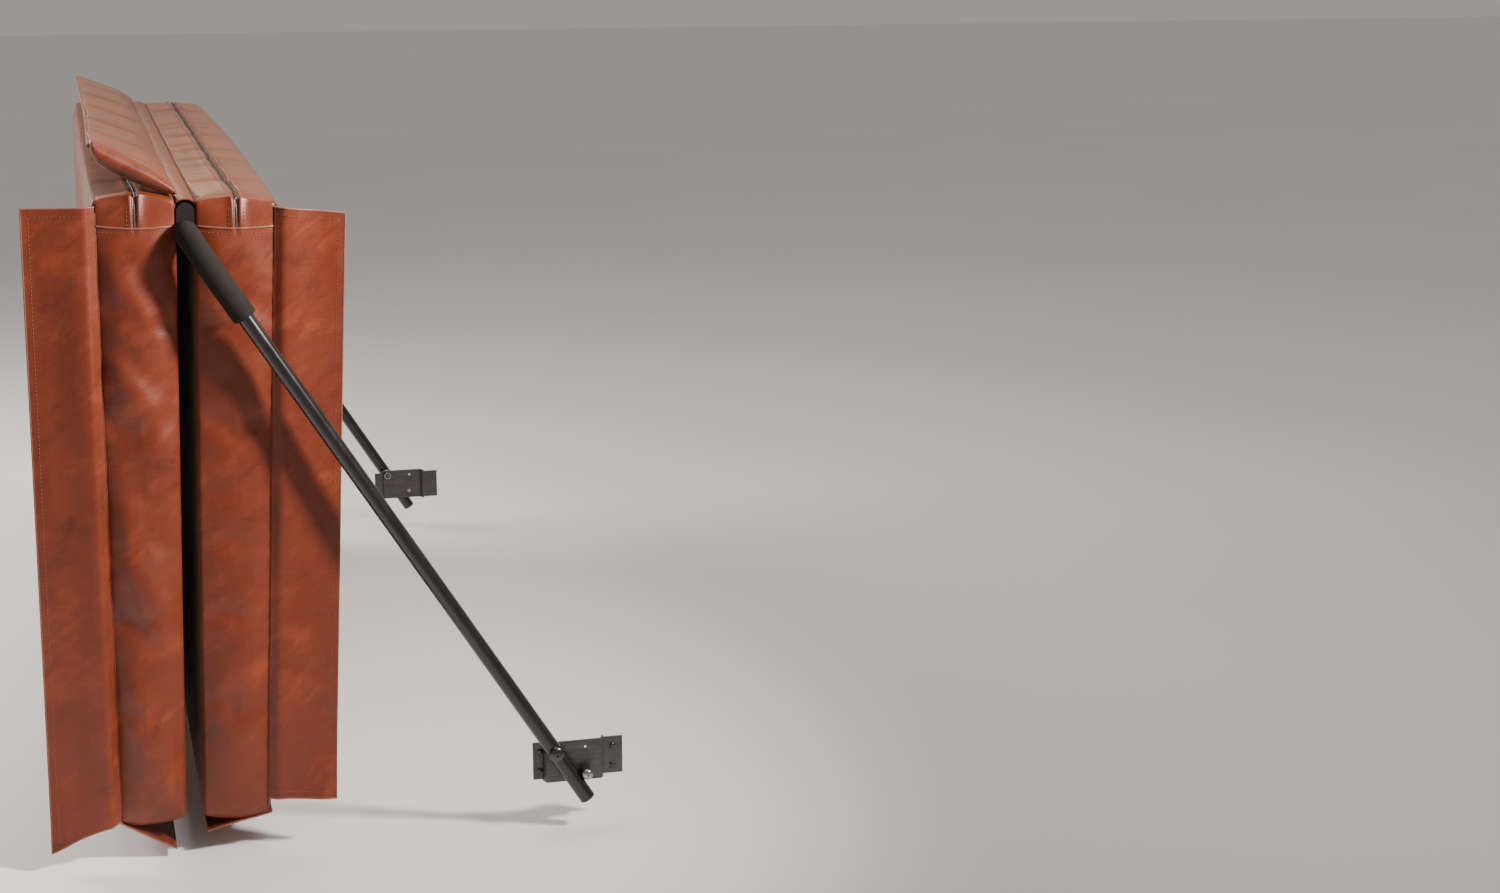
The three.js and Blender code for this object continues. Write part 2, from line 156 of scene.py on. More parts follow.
class SpaCoverLook(bpy.types.PropertyGroup):
    light_vinyl: colour("Vinyl, light", "Lighter colour of the marbled vinyl", (0.225, 0.038, 0.011))
    mid_vinyl: colour("Vinyl, middle", "Main colour of the marbled vinyl", (0.140, 0.0215, 0.0068))
    dark_vinyl: colour("Vinyl, dark", "Darker blotches of the marbled vinyl", (0.078, 0.015, 0.006))
    blotch: number("Blotch scale", "Blotches to a metre", 9.0)
    vinyl_shine: number("Vinyl roughness", "Middle roughness of the vinyl", 0.4, subtype="FACTOR")


class SpaLifterSizes(bpy.types.PropertyGroup):
    tube: metres("Tube radius", "Outer radius of the arms", 0.014)
    bend: metres("Bend radius", "Elbow radius at the tube's middle", 0.05)
    sides: IntProperty(name="Sides", description="Sides of a round piece", default=40)


class SpaStage(bpy.types.PropertyGroup):
    lens: number("Lens", "Focal length on a 36 mm sensor", 58.65)
    place: FloatVectorProperty(name="Camera", description="Where the camera stands",
                               default=(-0.9094, -4.1499, 1.5064), subtype="TRANSLATION")
    pitch: degrees("Pitch", "Camera's angle up from straight down", 77.61)
    yaw: degrees("Yaw", "Camera's turn about the vertical", -15.76)
    floor: metres("Floor", "Height of the floor", -0.124)


# ---- Modelling helpers


def deselect():
    if bpy.context.mode != "OBJECT":
        bpy.ops.object.mode_set(mode="OBJECT")
    bpy.ops.object.select_all(action="DESELECT")


def only(obj):
    """Makes one object the only selected and the active one."""
    deselect()
    obj.select_set(True)
    bpy.context.view_layer.objects.active = obj


def named(name):
    """Names the object just added, and moves its place into its mesh."""
    obj = bpy.context.object
    obj.name = name
    obj.data.name = name
    bpy.ops.object.transform_apply(location=True, rotation=True, scale=True)
    return obj


def edit(obj, select="DESELECT"):
    only(obj)
    bpy.ops.object.mode_set(mode="EDIT")
    bpy.ops.mesh.select_all(action=select)


def done():
    bpy.ops.object.mode_set(mode="OBJECT")


def normals_out(obj, merge=0.0):
    """Points a mesh's faces outwards, after merging points that lie closer than a distance."""
    edit(obj, "SELECT")
    if merge:
        bpy.ops.mesh.remove_doubles(threshold=merge)
    bpy.ops.mesh.normals_make_consistent(inside=False)
    done()
    return obj


def pick_edges(obj, test):
    """Selects, in edit mode, the edges whose two end points pass a test."""
    bpy.ops.mesh.select_mode(type="EDGE")
    bpy.ops.mesh.select_all(action="DESELECT")
    shape = bmesh.from_edit_mesh(obj.data)
    for edge in shape.edges:
        edge.select_set(test(edge.verts[0].co, edge.verts[1].co))
    bmesh.update_edit_mesh(obj.data)


def bisect(axis, at):
    bpy.ops.mesh.select_all(action="SELECT")
    normal = [0, 0, 0]
    normal[axis] = 1
    bpy.ops.mesh.bisect(plane_co=[n * at for n in normal], plane_no=normal)


def points_of(obj):
    flat = np.zeros(len(obj.data.vertices) * 3, np.float32)
    obj.data.vertices.foreach_get("co", flat)
    return flat.reshape(-1, 3).astype(float)


def set_points(obj, points):
    obj.data.vertices.foreach_set("co", points.astype(np.float32).ravel())
    obj.data.update()


def place(obj, matrix):
    """Moves a mesh by a matrix, and keeps its faces pointing out where the matrix mirrors."""
    obj.data.transform(matrix)
    if matrix.determinant() < 0:
        obj.data.flip_normals()
    obj.data.update()
    return obj


def copy_of(obj, name):
    twin = obj.copy()
    twin.data = obj.data.copy()
    twin.name = name
    twin.data.name = name
    bpy.context.scene.collection.objects.link(twin)
    return twin


def apply(obj, kind, **settings):
    """Adds a modifier, sets it and applies it."""
    only(obj)
    modifier = obj.modifiers.new(kind.title(), kind)
    for key, value in settings.items():
        setattr(modifier, key, value)
    bpy.ops.object.modifier_apply(modifier=modifier.name)
    return obj


def finish(obj, finish_name, body, at=None, replaces=(), angle=40):
    """Puts a piece in its place, gives it its finish and body, and hides the CAD nodes it stands for."""
    if at is not None:
        place(obj, at)
    obj.data.materials.clear()
    obj.data.materials.append(look(finish_name))
    only(obj)
    bpy.ops.object.shade_smooth_by_angle(angle=math.radians(angle))
    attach(obj, body)
    if replaces:
        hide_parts(*replaces)


def on_half(obj, half, finish_name, replaces=(), angle=40):
    """Finishes a piece that was modelled in a half's own axes."""
    finish(obj, finish_name, f"{half}_half", half_frame(half), replaces, angle)


def vinyl_sheet(name, columns, rows, shape, thickness):
    """A grid placed by a function of the share across and along, then thickened to either side."""
    deselect()
    bpy.ops.mesh.primitive_grid_add(x_subdivisions=columns, y_subdivisions=rows, size=2)
    obj = named(name)
    share = (points_of(obj)[:, :2] + 1) / 2
    set_points(obj, np.array([shape(u, v) for u, v in share]))
    apply(obj, "SOLIDIFY", thickness=thickness, offset=0)
    return normals_out(obj)


def tube(name, path, radius):
    """A round cord of vinyl along a path of points."""
    deselect()
    bpy.ops.curve.primitive_bezier_curve_add()
    obj = bpy.context.object
    obj.name = name
    curve = obj.data
    curve.splines.clear()
    spline = curve.splines.new("POLY")
    spline.points.add(len(path) - 1)
    for point, at in zip(spline.points, path):
        point.co = (*at, 1)
    curve.dimensions = "3D"
    curve.bevel_depth = radius
    curve.bevel_resolution = 2
    curve.use_fill_caps = True
    bpy.ops.object.convert(target="MESH")
    return normals_out(named(name), radius / 50)


def along(path, pitch):
    """Points and directions spaced evenly along a path."""
    path = np.array(path, float)
    steps = np.linalg.norm(np.diff(path, axis=0), axis=1)
    reached = np.concatenate([[0], np.cumsum(steps)])
    at = np.arange(pitch / 2, reached[-1], pitch)

    def spots(places):
        return np.column_stack([np.interp(places, reached, path[:, i]) for i in range(3)])

    run = spots(at + pitch / 4) - spots(at - pitch / 4)
    return spots(at), run / np.maximum(np.linalg.norm(run, axis=1), 1e-9)[:, None]


BEAD_TURN = (0.31, 0.53, 0.79)  # any direction that no seam runs along


def stitches(name, paths, pitch, radius=0.0006):
    """A row of short thread beads. One bead is modelled and then copied along the paths."""
    deselect()
    bpy.ops.mesh.primitive_ico_sphere_add(subdivisions=1, radius=1)
    bead = named("bead")
    base = points_of(bead)
    faces = np.array([list(f.vertices) for f in bead.data.polygons])
    bpy.data.objects.remove(bead)
    all_points, all_faces = [], []
    for path in paths:
        for spot, run in zip(*along(path, pitch)):
            side = np.cross(run, BEAD_TURN)
            side /= np.linalg.norm(side)
            up = np.cross(run, side)
            axes = np.array([run * pitch * 0.36, side * radius, up * radius])
            all_faces.append(faces + len(base) * len(all_points))
            all_points.append(base @ axes + spot)
    mesh = bpy.data.meshes.new(name)
    mesh.from_pydata(np.concatenate(all_points).tolist(), [], np.concatenate(all_faces).tolist())
    obj = bpy.data.objects.new(name, mesh)
    bpy.context.scene.collection.objects.link(obj)
    return normals_out(obj)


def turned(name, rings, matrix):
    """A round piece, modelled upwards from a circle by extruding ring after ring of (radius, height)."""
    deselect()
    radius, height = rings[0]
    sides = bpy.context.scene.spa_lifter.sides
    bpy.ops.mesh.primitive_circle_add(vertices=sides, radius=radius, location=(0, 0, height))
    obj = named(name)
    edit(obj, "SELECT")
    bpy.ops.mesh.edge_face_add()
    bpy.ops.mesh.select_all(action="SELECT")
    for next_radius, next_height in rings[1:]:
        bpy.ops.mesh.extrude_region_move(TRANSFORM_OT_translate={"value": (0, 0, next_height - height)})
        share = next_radius / radius
        bpy.ops.transform.resize(value=(share, share, 1), center_override=(0, 0, next_height))
        radius, height = next_radius, next_height
    done()
    return place(normals_out(obj), matrix)


def softened(node, ending, width, angle=30):
    """A copy of a CAD node, its loose triangles merged into clean faces and its sharp edges bevelled."""
    obj = copy_of(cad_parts[node], f"{node}_{ending}")
    obj.parent = None
    for key in [k for k in obj.keys() if k.startswith("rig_")]:
        del obj[key]
    edit(obj, "SELECT")
    bpy.ops.mesh.remove_doubles(threshold=1e-5)
    bpy.ops.mesh.dissolve_limited(angle_limit=math.radians(0.5))
    done()
    limit = math.radians(angle)
    return apply(obj, "BEVEL", width=width, segments=2, limit_method="ANGLE", angle_limit=limit)


def finish_pair(front, node, finish_name, body, angle=40):
    """Finishes a front piece and its twin, mirrored across the middle of the crossbar."""
    rear = copy_of(front, front.name.replace("front", "rear"))
    place(rear, Matrix.Translation((0, 2 * SPAN_MIDDLE, 0)) @ Matrix.Diagonal((1, -1, 1, 1)))
    finish(front, finish_name, body, None, [f"front_{node}"], angle)
    finish(rear, finish_name, body, None, [f"rear_{node}"], angle)


# ---- Materials


class Nodes:
    """A short way to write a material's nodes."""

    def __init__(self, name):
        self.material = bpy.data.materials.new(name)
        self.material.use_nodes = True
        self.tree = self.material.node_tree
        self.shader = self.tree.nodes["Principled BSDF"]

    def add(self, kind, inputs=(), **values):
        """A node with its properties set, and the numbers on its sockets."""
        node = self.tree.nodes.new(kind)
        for key, value in values.items():
            setattr(node, key, value)
        for key, value in dict(inputs).items():
            node.inputs[key].default_value = value
        return node

    def link(self, source, target):
        self.tree.links.new(source, target)

    def stretched(self, scale, turn=(0, 0, 0)):
        """Object coordinates turned, then scaled by a different amount along each turned axis."""
        coordinates = self.add("ShaderNodeTexCoord")
        inputs = {"Rotation": turn, "Scale": [1 / share for share in scale]}
        mapping = self.add("ShaderNodeMapping", inputs, vector_type="TEXTURE")
        self.link(coordinates.outputs["Object"], mapping.inputs["Vector"])
        return mapping.outputs["Vector"]

    def noise(self, scale, detail=3.0, roughness=0.55, distortion=0.0, stretch=(1, 1, 1), turn=(0, 0, 0)):
        inputs = {"Scale": scale, "Detail": detail, "Roughness": roughness, "Distortion": distortion}
        node = self.add("ShaderNodeTexNoise", inputs)
        self.link(self.stretched(stretch, turn), node.inputs["Vector"])
        return node.outputs["Fac"]

    def cells(self, scale):
        node = self.add("ShaderNodeTexVoronoi", {"Scale": scale})
        self.link(self.stretched((1, 1, 1)), node.inputs["Vector"])
        return node.outputs["Distance"]

    def ramp(self, source, stops):
        node = self.add("ShaderNodeValToRGB")
        for extra in range(len(stops) - 2):
            node.color_ramp.elements.new(0.5)
        for element, (at, color) in zip(node.color_ramp.elements, stops):
            element.position = at
            element.color = (*color, 1)
        self.link(source, node.inputs["Fac"])
        return node.outputs["Color"]

    def spread(self, source, low, high, start=0.3, end=0.7):
        """A pattern's values from start to end, spread from low to high."""
        inputs = {"From Min": start, "From Max": end, "To Min": low, "To Max": high}
        node = self.add("ShaderNodeMapRange", inputs)
        self.link(source, node.inputs["Value"])
        return node.outputs["Result"]

    def mixed(self, first, second, share):
        """A colour mixed with a second one; the share is a number or another node's output."""
        node = self.add("ShaderNodeMix", {7: (*second, 1)}, data_type="RGBA")
        self.link(first, node.inputs[6])
        if isinstance(share, float):
            node.inputs[0].default_value = share
        else:
            self.link(share, node.inputs[0])
        return node.outputs[2]

    def sum(self, first, second, weight):
        node = self.add("ShaderNodeMath", {1: weight}, operation="MULTIPLY_ADD")
        self.link(second, node.inputs[0])
        self.link(first, node.inputs[2])
        return node.outputs[0]

    def surface(self, color, roughness, relief, strength, distance, **values):
        """Joins colour, roughness and relief to the shader, and returns the material."""
        node = self.add("ShaderNodeBump", {"Strength": strength, "Distance": distance})
        self.link(relief, node.inputs["Height"])
        self.link(node.outputs["Normal"], self.shader.inputs["Normal"])
        self.link(color, self.shader.inputs["Base Color"])
        self.link(roughness, self.shader.inputs["Roughness"])
        for key, value in values.items():
            self.shader.inputs[key.replace("_", " ")].default_value = value
        return self.material

    def tinted(self, pattern, color, darker, start=0.3, end=0.7):
        """One colour, darkened by a share where the pattern is low."""
        return self.ramp(pattern, [(start, [c * darker for c in color]), (end, color)])


def vinyl(name, seam_darkening=False, edge_highlight=0.0):
    """Marbled, grained marine vinyl."""
    shades = bpy.context.scene.spa_look
    dark, main, light = shades.dark_vinyl, shades.mid_vinyl, shades.light_vinyl
    n = Nodes(name)
    clouds = n.noise(shades.blotch, 2.0, 0.5, 0.3)
    strokes = n.noise(shades.blotch * 2.0, 7.0, 0.66, 0.5, (0.9, 1.2, 2.4), (0.2, -0.7, 0))
    streaks = n.noise(1.0, 4.0, 0.6, stretch=(9, 210, 260))
    blotches = n.sum(n.sum(clouds, strokes, 0.95), streaks, 0.22)
    pattern = n.spread(blotches, 0.0, 1.0, 0.56, 1.6)
    color = n.ramp(pattern, [(0.14, dark), (0.42, main), (0.54, main), (0.86, light)])
    if seam_darkening:
        # Darker near the sewn side seams and the zipper line.
        seam_darkness = n.add("ShaderNodeAttribute", attribute_name="seam")
        color = n.mixed(color, [c * 0.35 for c in dark], seam_darkness.outputs["Fac"])
    # A pale mix paints the highlight on rounded hems, piping and rolled edges.
    if edge_highlight:
        color = n.mixed(color, (0.6, 0.42, 0.34), edge_highlight)
    roughness = n.spread(strokes, shades.vinyl_shine - 0.07, shades.vinyl_shine + 0.1)
    grain = n.sum(n.sum(n.cells(420), streaks, 0.9), n.noise(950, 2.0), 0.5)
    return n.surface(
        color, roughness, grain, 0.22, 0.0006,
        Specular_IOR_Level=0.42, Sheen_Weight=0.13, Sheen_Roughness=0.35, Sheen_Tint=(1, 0.8, 0.54, 1),
    )


def thread(name, color):
    n = Nodes(name)
    twist = n.noise(1800, 2.0)
    return n.surface(n.tinted(twist, color, 0.6), n.spread(twist, 0.55, 0.8), twist, 0.4, 0.0002)


def foam(name, color):
    n = Nodes(name)
    beads = n.cells(230)
    color = n.tinted(beads, color, 0.82, 0.0, 0.45)
    return n.surface(color, n.spread(beads, 0.8, 0.95, 0, 0.6), beads, 0.35, 0.0012)


def film(name):
    n = Nodes(name)
    folds = n.noise(14, 5.0, distortion=1.0, stretch=(1, 0.4, 1))
    color = n.ramp(folds, [(0.35, (0.62, 0.67, 0.7)), (0.65, (0.8, 0.84, 0.86))])
    return n.surface(color, n.spread(folds, 0.16, 0.34), folds, 0.5, 0.003)


def galvanised(name):
    n = Nodes(name)
    spangle = n.cells(70)
    color = n.ramp(spangle, [(0.1, (0.5, 0.52, 0.53)), (0.7, (0.7, 0.72, 0.73))])
    return n.surface(color, n.spread(spangle, 0.3, 0.5, 0, 0.8), n.noise(400), 0.08, 0.0003, Metallic=1.0)


def gloss_black(name):
    n = Nodes(name)
    peel = n.noise(260, 2.0)
    scuffs = n.noise(30, 6.0, 0.7, stretch=(1, 1, 0.3))
    color = n.ramp(scuffs, [(0.4, (0.004, 0.004, 0.004)), (0.75, (0.011, 0.010, 0.009))])
    return n.surface(color, n.spread(scuffs, 0.16, 0.22), peel, 0.02, 0.0002,
                     Specular_IOR_Level=0.55, Coat_Weight=0.3, Coat_Roughness=0.1)


def satin_black(name):
    n = Nodes(name)
    brushing_and_sheen = n.noise(1.0, 3.0, stretch=(30, 900, 900))
    speckle = n.noise(700, 2.0)
    # The lighter brushed streaks in the colour are a painted sheen; the same streaks also give the brushed
    # relief.
    color = n.ramp(brushing_and_sheen, [(0.3, (0.05, 0.048, 0.045)), (0.7, (0.105, 0.1, 0.095))])
    relief = n.sum(speckle, brushing_and_sheen, 0.6)
    return n.surface(color, n.spread(speckle, 0.3, 0.46), relief, 0.15, 0.0003,
                     Metallic=0.55, Specular_IOR_Level=0.5)


def soft_grip(name):
    n = Nodes(name)
    pores = n.cells(900)
    worn = n.noise(22, 5.0, 0.6)
    color = n.ramp(worn, [(0.3, (0.008, 0.0062, 0.0054)), (0.75, (0.017, 0.0135, 0.0115))])
    relief = n.sum(pores, worn, 0.8)
    return n.surface(color, n.spread(worn, 0.78, 0.95), relief, 0.3, 0.0006, Specular_IOR_Level=0.25)


def rubber(name):
    n = Nodes(name)
    dust = n.noise(120, 4.0)
    color = n.ramp(dust, [(0.35, (0.01, 0.01, 0.01)), (0.8, (0.03, 0.028, 0.026))])
    return n.surface(color, n.spread(dust, 0.5, 0.75), n.noise(600), 0.12, 0.0004)


def moulded(name, color, shine):
    n = Nodes(name)
    texture = n.noise(800, 2.0)
    roughness = n.spread(texture, shine - 0.06, shine + 0.08)
    return n.surface(n.tinted(texture, color, 0.8), roughness, texture, 0.12, 0.0003)


def bolt_steel(name, color):
    n = Nodes(name)
    marks = n.noise(300, 4.0)
    color = n.tinted(marks, color, 0.75)
    return n.surface(color, n.spread(marks, 0.16, 0.32), marks, 0.05, 0.0002, Metallic=1.0)


# Each finish has the slot its pieces go in and the maker of its material.
FINISHES = {
    "vinyl": ("vinyl", lambda: vinyl("marbled_vinyl")),
    "casing": ("vinyl", lambda: vinyl("marbled_vinyl_panels", seam_darkening=True)),
    # Rounded edges get a painted highlight: a pale mix in their colour.
    "edge": ("vinyl", lambda: vinyl("vinyl_edge_painted_highlight", edge_highlight=0.12)),
    "thread": ("vinyl", lambda: thread("bonded_thread", (0.2, 0.085, 0.05))),
    "zip": ("black_plastic", lambda: moulded("zipper_tape", (0.012, 0.01, 0.01), 0.55)),
    "coil": ("black_plastic", lambda: moulded("zipper_coil", (0.022, 0.018, 0.016), 0.4)),
    "foam": ("foam", lambda: foam("bead_foam", (0.86, 0.85, 0.8))),
    "film": ("film", lambda: film("vapour_film")),
    "galvanised": ("galvanised", lambda: galvanised("galvanised_steel")),
    "tube": ("black_tube", lambda: gloss_black("gloss_black_coat")),
    "sheet": ("black_sheet", lambda: satin_black("satin_black_coat")),
    "grip": ("soft_grip", lambda: soft_grip("foam_rubber")),
    "rubber": ("rubber", lambda: rubber("black_rubber")),
    "plastic": ("black_plastic", lambda: moulded("black_plastic", (0.016, 0.016, 0.017), 0.42)),
    "nylon": ("nylon", lambda: moulded("natural_nylon", (0.72, 0.7, 0.63), 0.42)),
    "steel": ("bolt_steel", lambda: bolt_steel("bolt_steel", (0.42, 0.42, 0.43))),
    "dark_steel": ("bolt_steel", lambda: bolt_steel("blackened_steel", (0.1, 0.1, 0.1))),
}
LOOKS = {}


def look(finish_name):
    """Each finish's material is made once and shared."""
    if finish_name not in LOOKS:
        _, maker = FINISHES[finish_name]
        LOOKS[finish_name] = maker()
    return LOOKS[finish_name]


# ---- The two halves

ZIP_LINES = (0.002, 0.0045, 0.0075, 0.011, 0.017)  # rows of points to either side of the zipper
EDGE_ROWS = (0.3, 0.6, 1.0)  # rows of points near an edge, in shares of its radius
SEAM_HOLD = 0.016  # how far from a seam the vinyl is still held
FLATTER_FOLD = 0.45  # share of the puff that the zipper leaves along the fold
ON_FACE = 0.012  # points this close to a flat face are on it
ON_END = 0.02  # the same for an end face, which the puff has moved
# Lips to either side of a zipper: the lip's height, place and width, the groove's depth and width.
OPEN_LIPS = (0.0038, 0.0105, 0.0052, 0.0022, 0.0042)
CLOSED_LIPS = (0.0048, 0.0068, 0.005, 0.0026, 0.0026)
PAST_END = -0.587785  # an underside's bow past its ends, where it turns in
PUFF_FRAMES = 20
CLOTH = {
    "quality": 4, "mass": 0.3, "tension_stiffness": 15, "compression_stiffness": 15,
    "shear_stiffness": 6, "bending_stiffness": 4, "use_pressure": True,
}
# How slack each half hangs, its noise seed, and how far its underside swells and its fold crowns.
SHAPES = {
    "inner": {"slack": 0.6, "seed": 4.0, "swell": 0.011, "crown": 0.008},
    "outer": {"slack": 1.0, "seed": 9.0, "swell": 0.004, "crown": 0.012},
}


def rounded(points, low, high, radius):
    """Moves the points of a finely cut box onto the box with rounded edges and corners."""
    core = np.clip(points, low + radius, high - radius)
    out = points - core
    length = np.linalg.norm(out, axis=1)
    scale = np.where(length > 0, radius / np.maximum(length, 1e-12), 1)
    return core + out * scale[:, None]


def cut_block(name, size, radius, cuts, extra_x=()):
    """A box from the origin to size, with rows close together at its edges, then rounded."""
    deselect()
    bpy.ops.mesh.primitive_cube_add(size=1, location=Vector(size) / 2, scale=size)
    obj = named(name)
    edit(obj)
    near = [radius * share for share in EDGE_ROWS]
    for axis in range(3):
        rows = near + [size[axis] - r for r in near]
        rows += list(extra_x) if axis == 0 else []
        for at in rows:
            bisect(axis, at)
    for axis, count in enumerate(cuts):
        shortest = 0.35 * size[axis] if axis else 0.02

        def long_edge(a, b):
            return abs(a[axis] - b[axis]) > shortest

        pick_edges(obj, long_edge)
        bpy.ops.mesh.subdivide(number_cuts=count)
    done()
    set_points(obj, rounded(points_of(obj), np.zeros(3), np.array(size), radius))
    return obj


def from_seam(points, size):
    """How far each point of a box is from the nearest of the box's edges."""
    size = np.array(size)
    return np.sort(np.minimum(points, size - points), axis=1)[:, 1]


def puff(obj, pressure, cap, slack, held):
    """Blows a casing up as cloth. Held is each point's hold, from 0 free to 1 fixed."""
    start = points_of(obj)
    group = obj.vertex_groups.new(name="held")
    for index, weight in enumerate(held):
        if weight > 0:
            group.add([index], float(weight), "REPLACE")
    only(obj)
    cloth = obj.modifiers.new("Cloth", "CLOTH")
    for key, value in CLOTH.items():
        setattr(cloth.settings, key, value)
    cloth.settings.uniform_pressure_force = pressure
    cloth.settings.shrink_min = -slack
    cloth.settings.vertex_group_mass = group.name
    cloth.settings.effector_weights.gravity = 0
    cloth.point_cache.frame_start = 1
    cloth.point_cache.frame_end = PUFF_FRAMES
    for step in range(1, PUFF_FRAMES + 1):
        bpy.context.scene.frame_set(step)
    bpy.ops.object.modifier_apply(modifier=cloth.name)
    bpy.context.scene.frame_set(1)
    obj.vertex_groups.clear()
    moved = points_of(obj) - start
    length = np.maximum(np.linalg.norm(moved, axis=1), 1e-9)
    set_points(obj, start + moved * (cap * np.tanh(length / cap) / length)[:, None])


def half_casing():
    """One half's puffed casing, in the half's own axes, before it is told apart as inner or outer."""
    sizes = bpy.context.scene.spa_cover
    size = (THICK, DEPTH, HEIGHT)
    zip_rows = [THICK / 2 + side * at for at in ZIP_LINES for side in (-1, 1)]
    block = cut_block("casing", size, sizes.corner, (2, 100, 72), zip_rows)
    points = points_of(block)
    held = np.clip(1 - from_seam(points, size) / SEAM_HOLD, 0, 1)
    # The panel in the gap is held nearly flat, which keeps the gap open.
    held = np.maximum(held, np.where(points[:, 0] < 0.004, 0.9, 0))
    puff(block, sizes.pressure, sizes.puff, sizes.slack, held)
    points = points_of(block)
    points[:, 2] -= HEIGHT
    # The fold is drawn flatter by its zipper, which also leaves room for the closed cover's heat seal.
    points[:, 2] = np.where(points[:, 2] > 0, points[:, 2] * FLATTER_FOLD, points[:, 2])
    points[:, 0] *= 1 + (RIM_SEAM / THICK - 1) * np.clip(-points[:, 2] / HEIGHT, 0, 1)
    set_points(block, points)
    return block


def creases(across, drop, seed):
    """Soft slanting folds where the vinyl hangs slack, from 1 on a ridge to -1 in a valley."""
    slant = drop + 1.55 * across + 0.05 * drift(drop * 4, across * 5, seed)
    ridge = drift(slant * 7.5, across * 2.2 - drop * 0.6, seed * 3.1)
    fine = drift(slant * 17, across * 5, seed * 5.7)
    return max(-1.0, min(1.0, 1.7 * ridge + 0.45 * fine))


def lips(from_zip, height, at, width, groove, groove_width):
    return height * hump(from_zip, at, width) - groove * hump(from_zip, 0, groove_width)


def bow(share):
    """How far a panel bows out along its length, at most 1. It turns in a little past the ends."""
    rise = math.sin(math.pi * share)
    return rise**0.7 if rise > 0 else PAST_END * (-rise) ** 0.7


def shape_half(obj, half):
    """Adds what gravity and sewing do to one half: folds, a zipper groove between lips, soft corners."""
    shape = SHAPES[half]
    seed = shape["seed"]
    crease = bpy.context.scene.spa_cover.crease * shape["slack"]
    points = points_of(obj)
    for point in points:
        x, y, z = point
        drop = -z
        wide = thickness_at(drop)
        from_end = min(y, DEPTH - y)
        from_zip = abs(x - THICK / 2)
        middle_share = clamp(min(x, wide - x) / 0.03)
        outer_share = clamp(x / wide)
        for end, outwards in ((0.0, -1), (DEPTH, 1)):
            if abs(y - end) < ON_END and FOLD_RETURN < drop < HEIGHT - 0.01:
                fade = min(1.0, (drop - FOLD_RETURN) / 0.05, (HEIGHT - drop) / 0.06)
                fold_here = (1 + creases(x + (0.4 if end else 0), drop, seed)) / 2
                fold_here += 0.35 * math.sin(math.pi * outer_share)
                depth = crease * (0.35 if end else 1.0)
                point[1] += outwards * depth * fade * middle_share * fold_here
        if from_zip < 0.03 and drop < ON_FACE:
            point[2] += lips(from_zip, *OPEN_LIPS)
        if from_zip < 0.03 and from_end < ON_END and 0.002 < drop < FOLD_RETURN:
            closed = lips(from_zip, *CLOSED_LIPS)
            point[1] += -closed if y < DEPTH / 2 else closed
        if drop < 0.02 and 0.02 < y < DEPTH - 0.02:
            point[2] += 0.0014 * (1 + drift(x * 6, y * 3.1, seed)) * middle_share
        if drop > HEIGHT - 0.02:
            sag = math.sin(math.pi * clamp(1 - x / wide) ** 0.75)
            point[2] -= 0.011 * sag * min(1.0, from_end / 0.012 + 0.35)
        if x > wide - 0.02 and 0.03 < drop < HEIGHT - 0.03:
            point[0] += 0.0045 * drift(y * 5.5, drop * 2.1, seed)
        # The underside swells out below the fold, and the fold's front end crowns towards the gap.
        point[0] += shape["swell"] * outer_share**3 * hump(drop, 0, 0.35) * bow(y / DEPTH)
        at_front = hump(drop, 0, 0.03) * hump(y, 0, 0.2)
        point[2] += shape["crown"] * at_front * math.sin(math.pi * outer_share**0.7)
    set_points(obj, points)


def seam_darkening(obj):
    """Writes how close each point is to a sewn line, where the vinyl is drawn darker."""
    points = points_of(obj)
    drop = -points[:, 2]
    at_end = np.minimum(points[:, 1], DEPTH - points[:, 1]) < ON_FACE
    at_zip = (drop < ON_FACE) | (at_end & (drop < FOLD_RETURN))
    side_seam = np.where(at_end, np.abs(points[:, 0] - thickness_at(drop)), 1)
    zip_line = np.where(at_zip, np.abs(points[:, 0] - THICK / 2), 1)
    nearest = np.minimum(side_seam / 0.006, zip_line / 0.0045)
    attribute = obj.data.attributes.new("seam", "FLOAT", "POINT")
    attribute.data.foreach_set("value", (0.8 * np.exp(-nearest**2)).astype(np.float32))


def envelope(name):
    """The vapour wrap round a foam core, its corners rounded inside the casing."""
    inset = 0.0032
    size = (THICK - 2 * inset, DEPTH - 2 * inset, HEIGHT - 2 * inset)
    obj = cut_block(name, size, 0.007, (2, 12, 8))
    points = points_of(obj) + (inset, inset, inset - HEIGHT)
    taper = (thickness_at(-points[:, 2]) - 2 * inset) / (THICK - 2 * inset)
    points[:, 0] = inset + (points[:, 0] - inset) * taper
    set_points(obj, points)
    return obj


class SPA_OT_casings(bpy.types.Operator):
    """Makes the puffed vinyl casing of each half, and the film inside it"""
    bl_idname = "spa.casings"
    bl_label = "Casings"

    def execute(self, context):
        block = half_casing()
        for half in HALVES:
            casing = copy_of(block, f"{half}_casing")
            shape_half(casing, half)
            apply(casing, "SUBSURF", levels=1, render_levels=1)
            seam_darkening(casing)
            stands_for = [f"{half}_{panel}" for panel in (
                "top_panel", "underside_panel", "rim_band", "fold_band_top", "fold_band_bottom",
                "front_band", "back_band",
            )]
            on_half(casing, half, "casing", stands_for, 60)
            on_half(envelope(f"{half}_film_wrap"), half, "film", [f"{half}_vapour_wrap"])
        bpy.data.objects.remove(block)
        return {"FINISHED"}


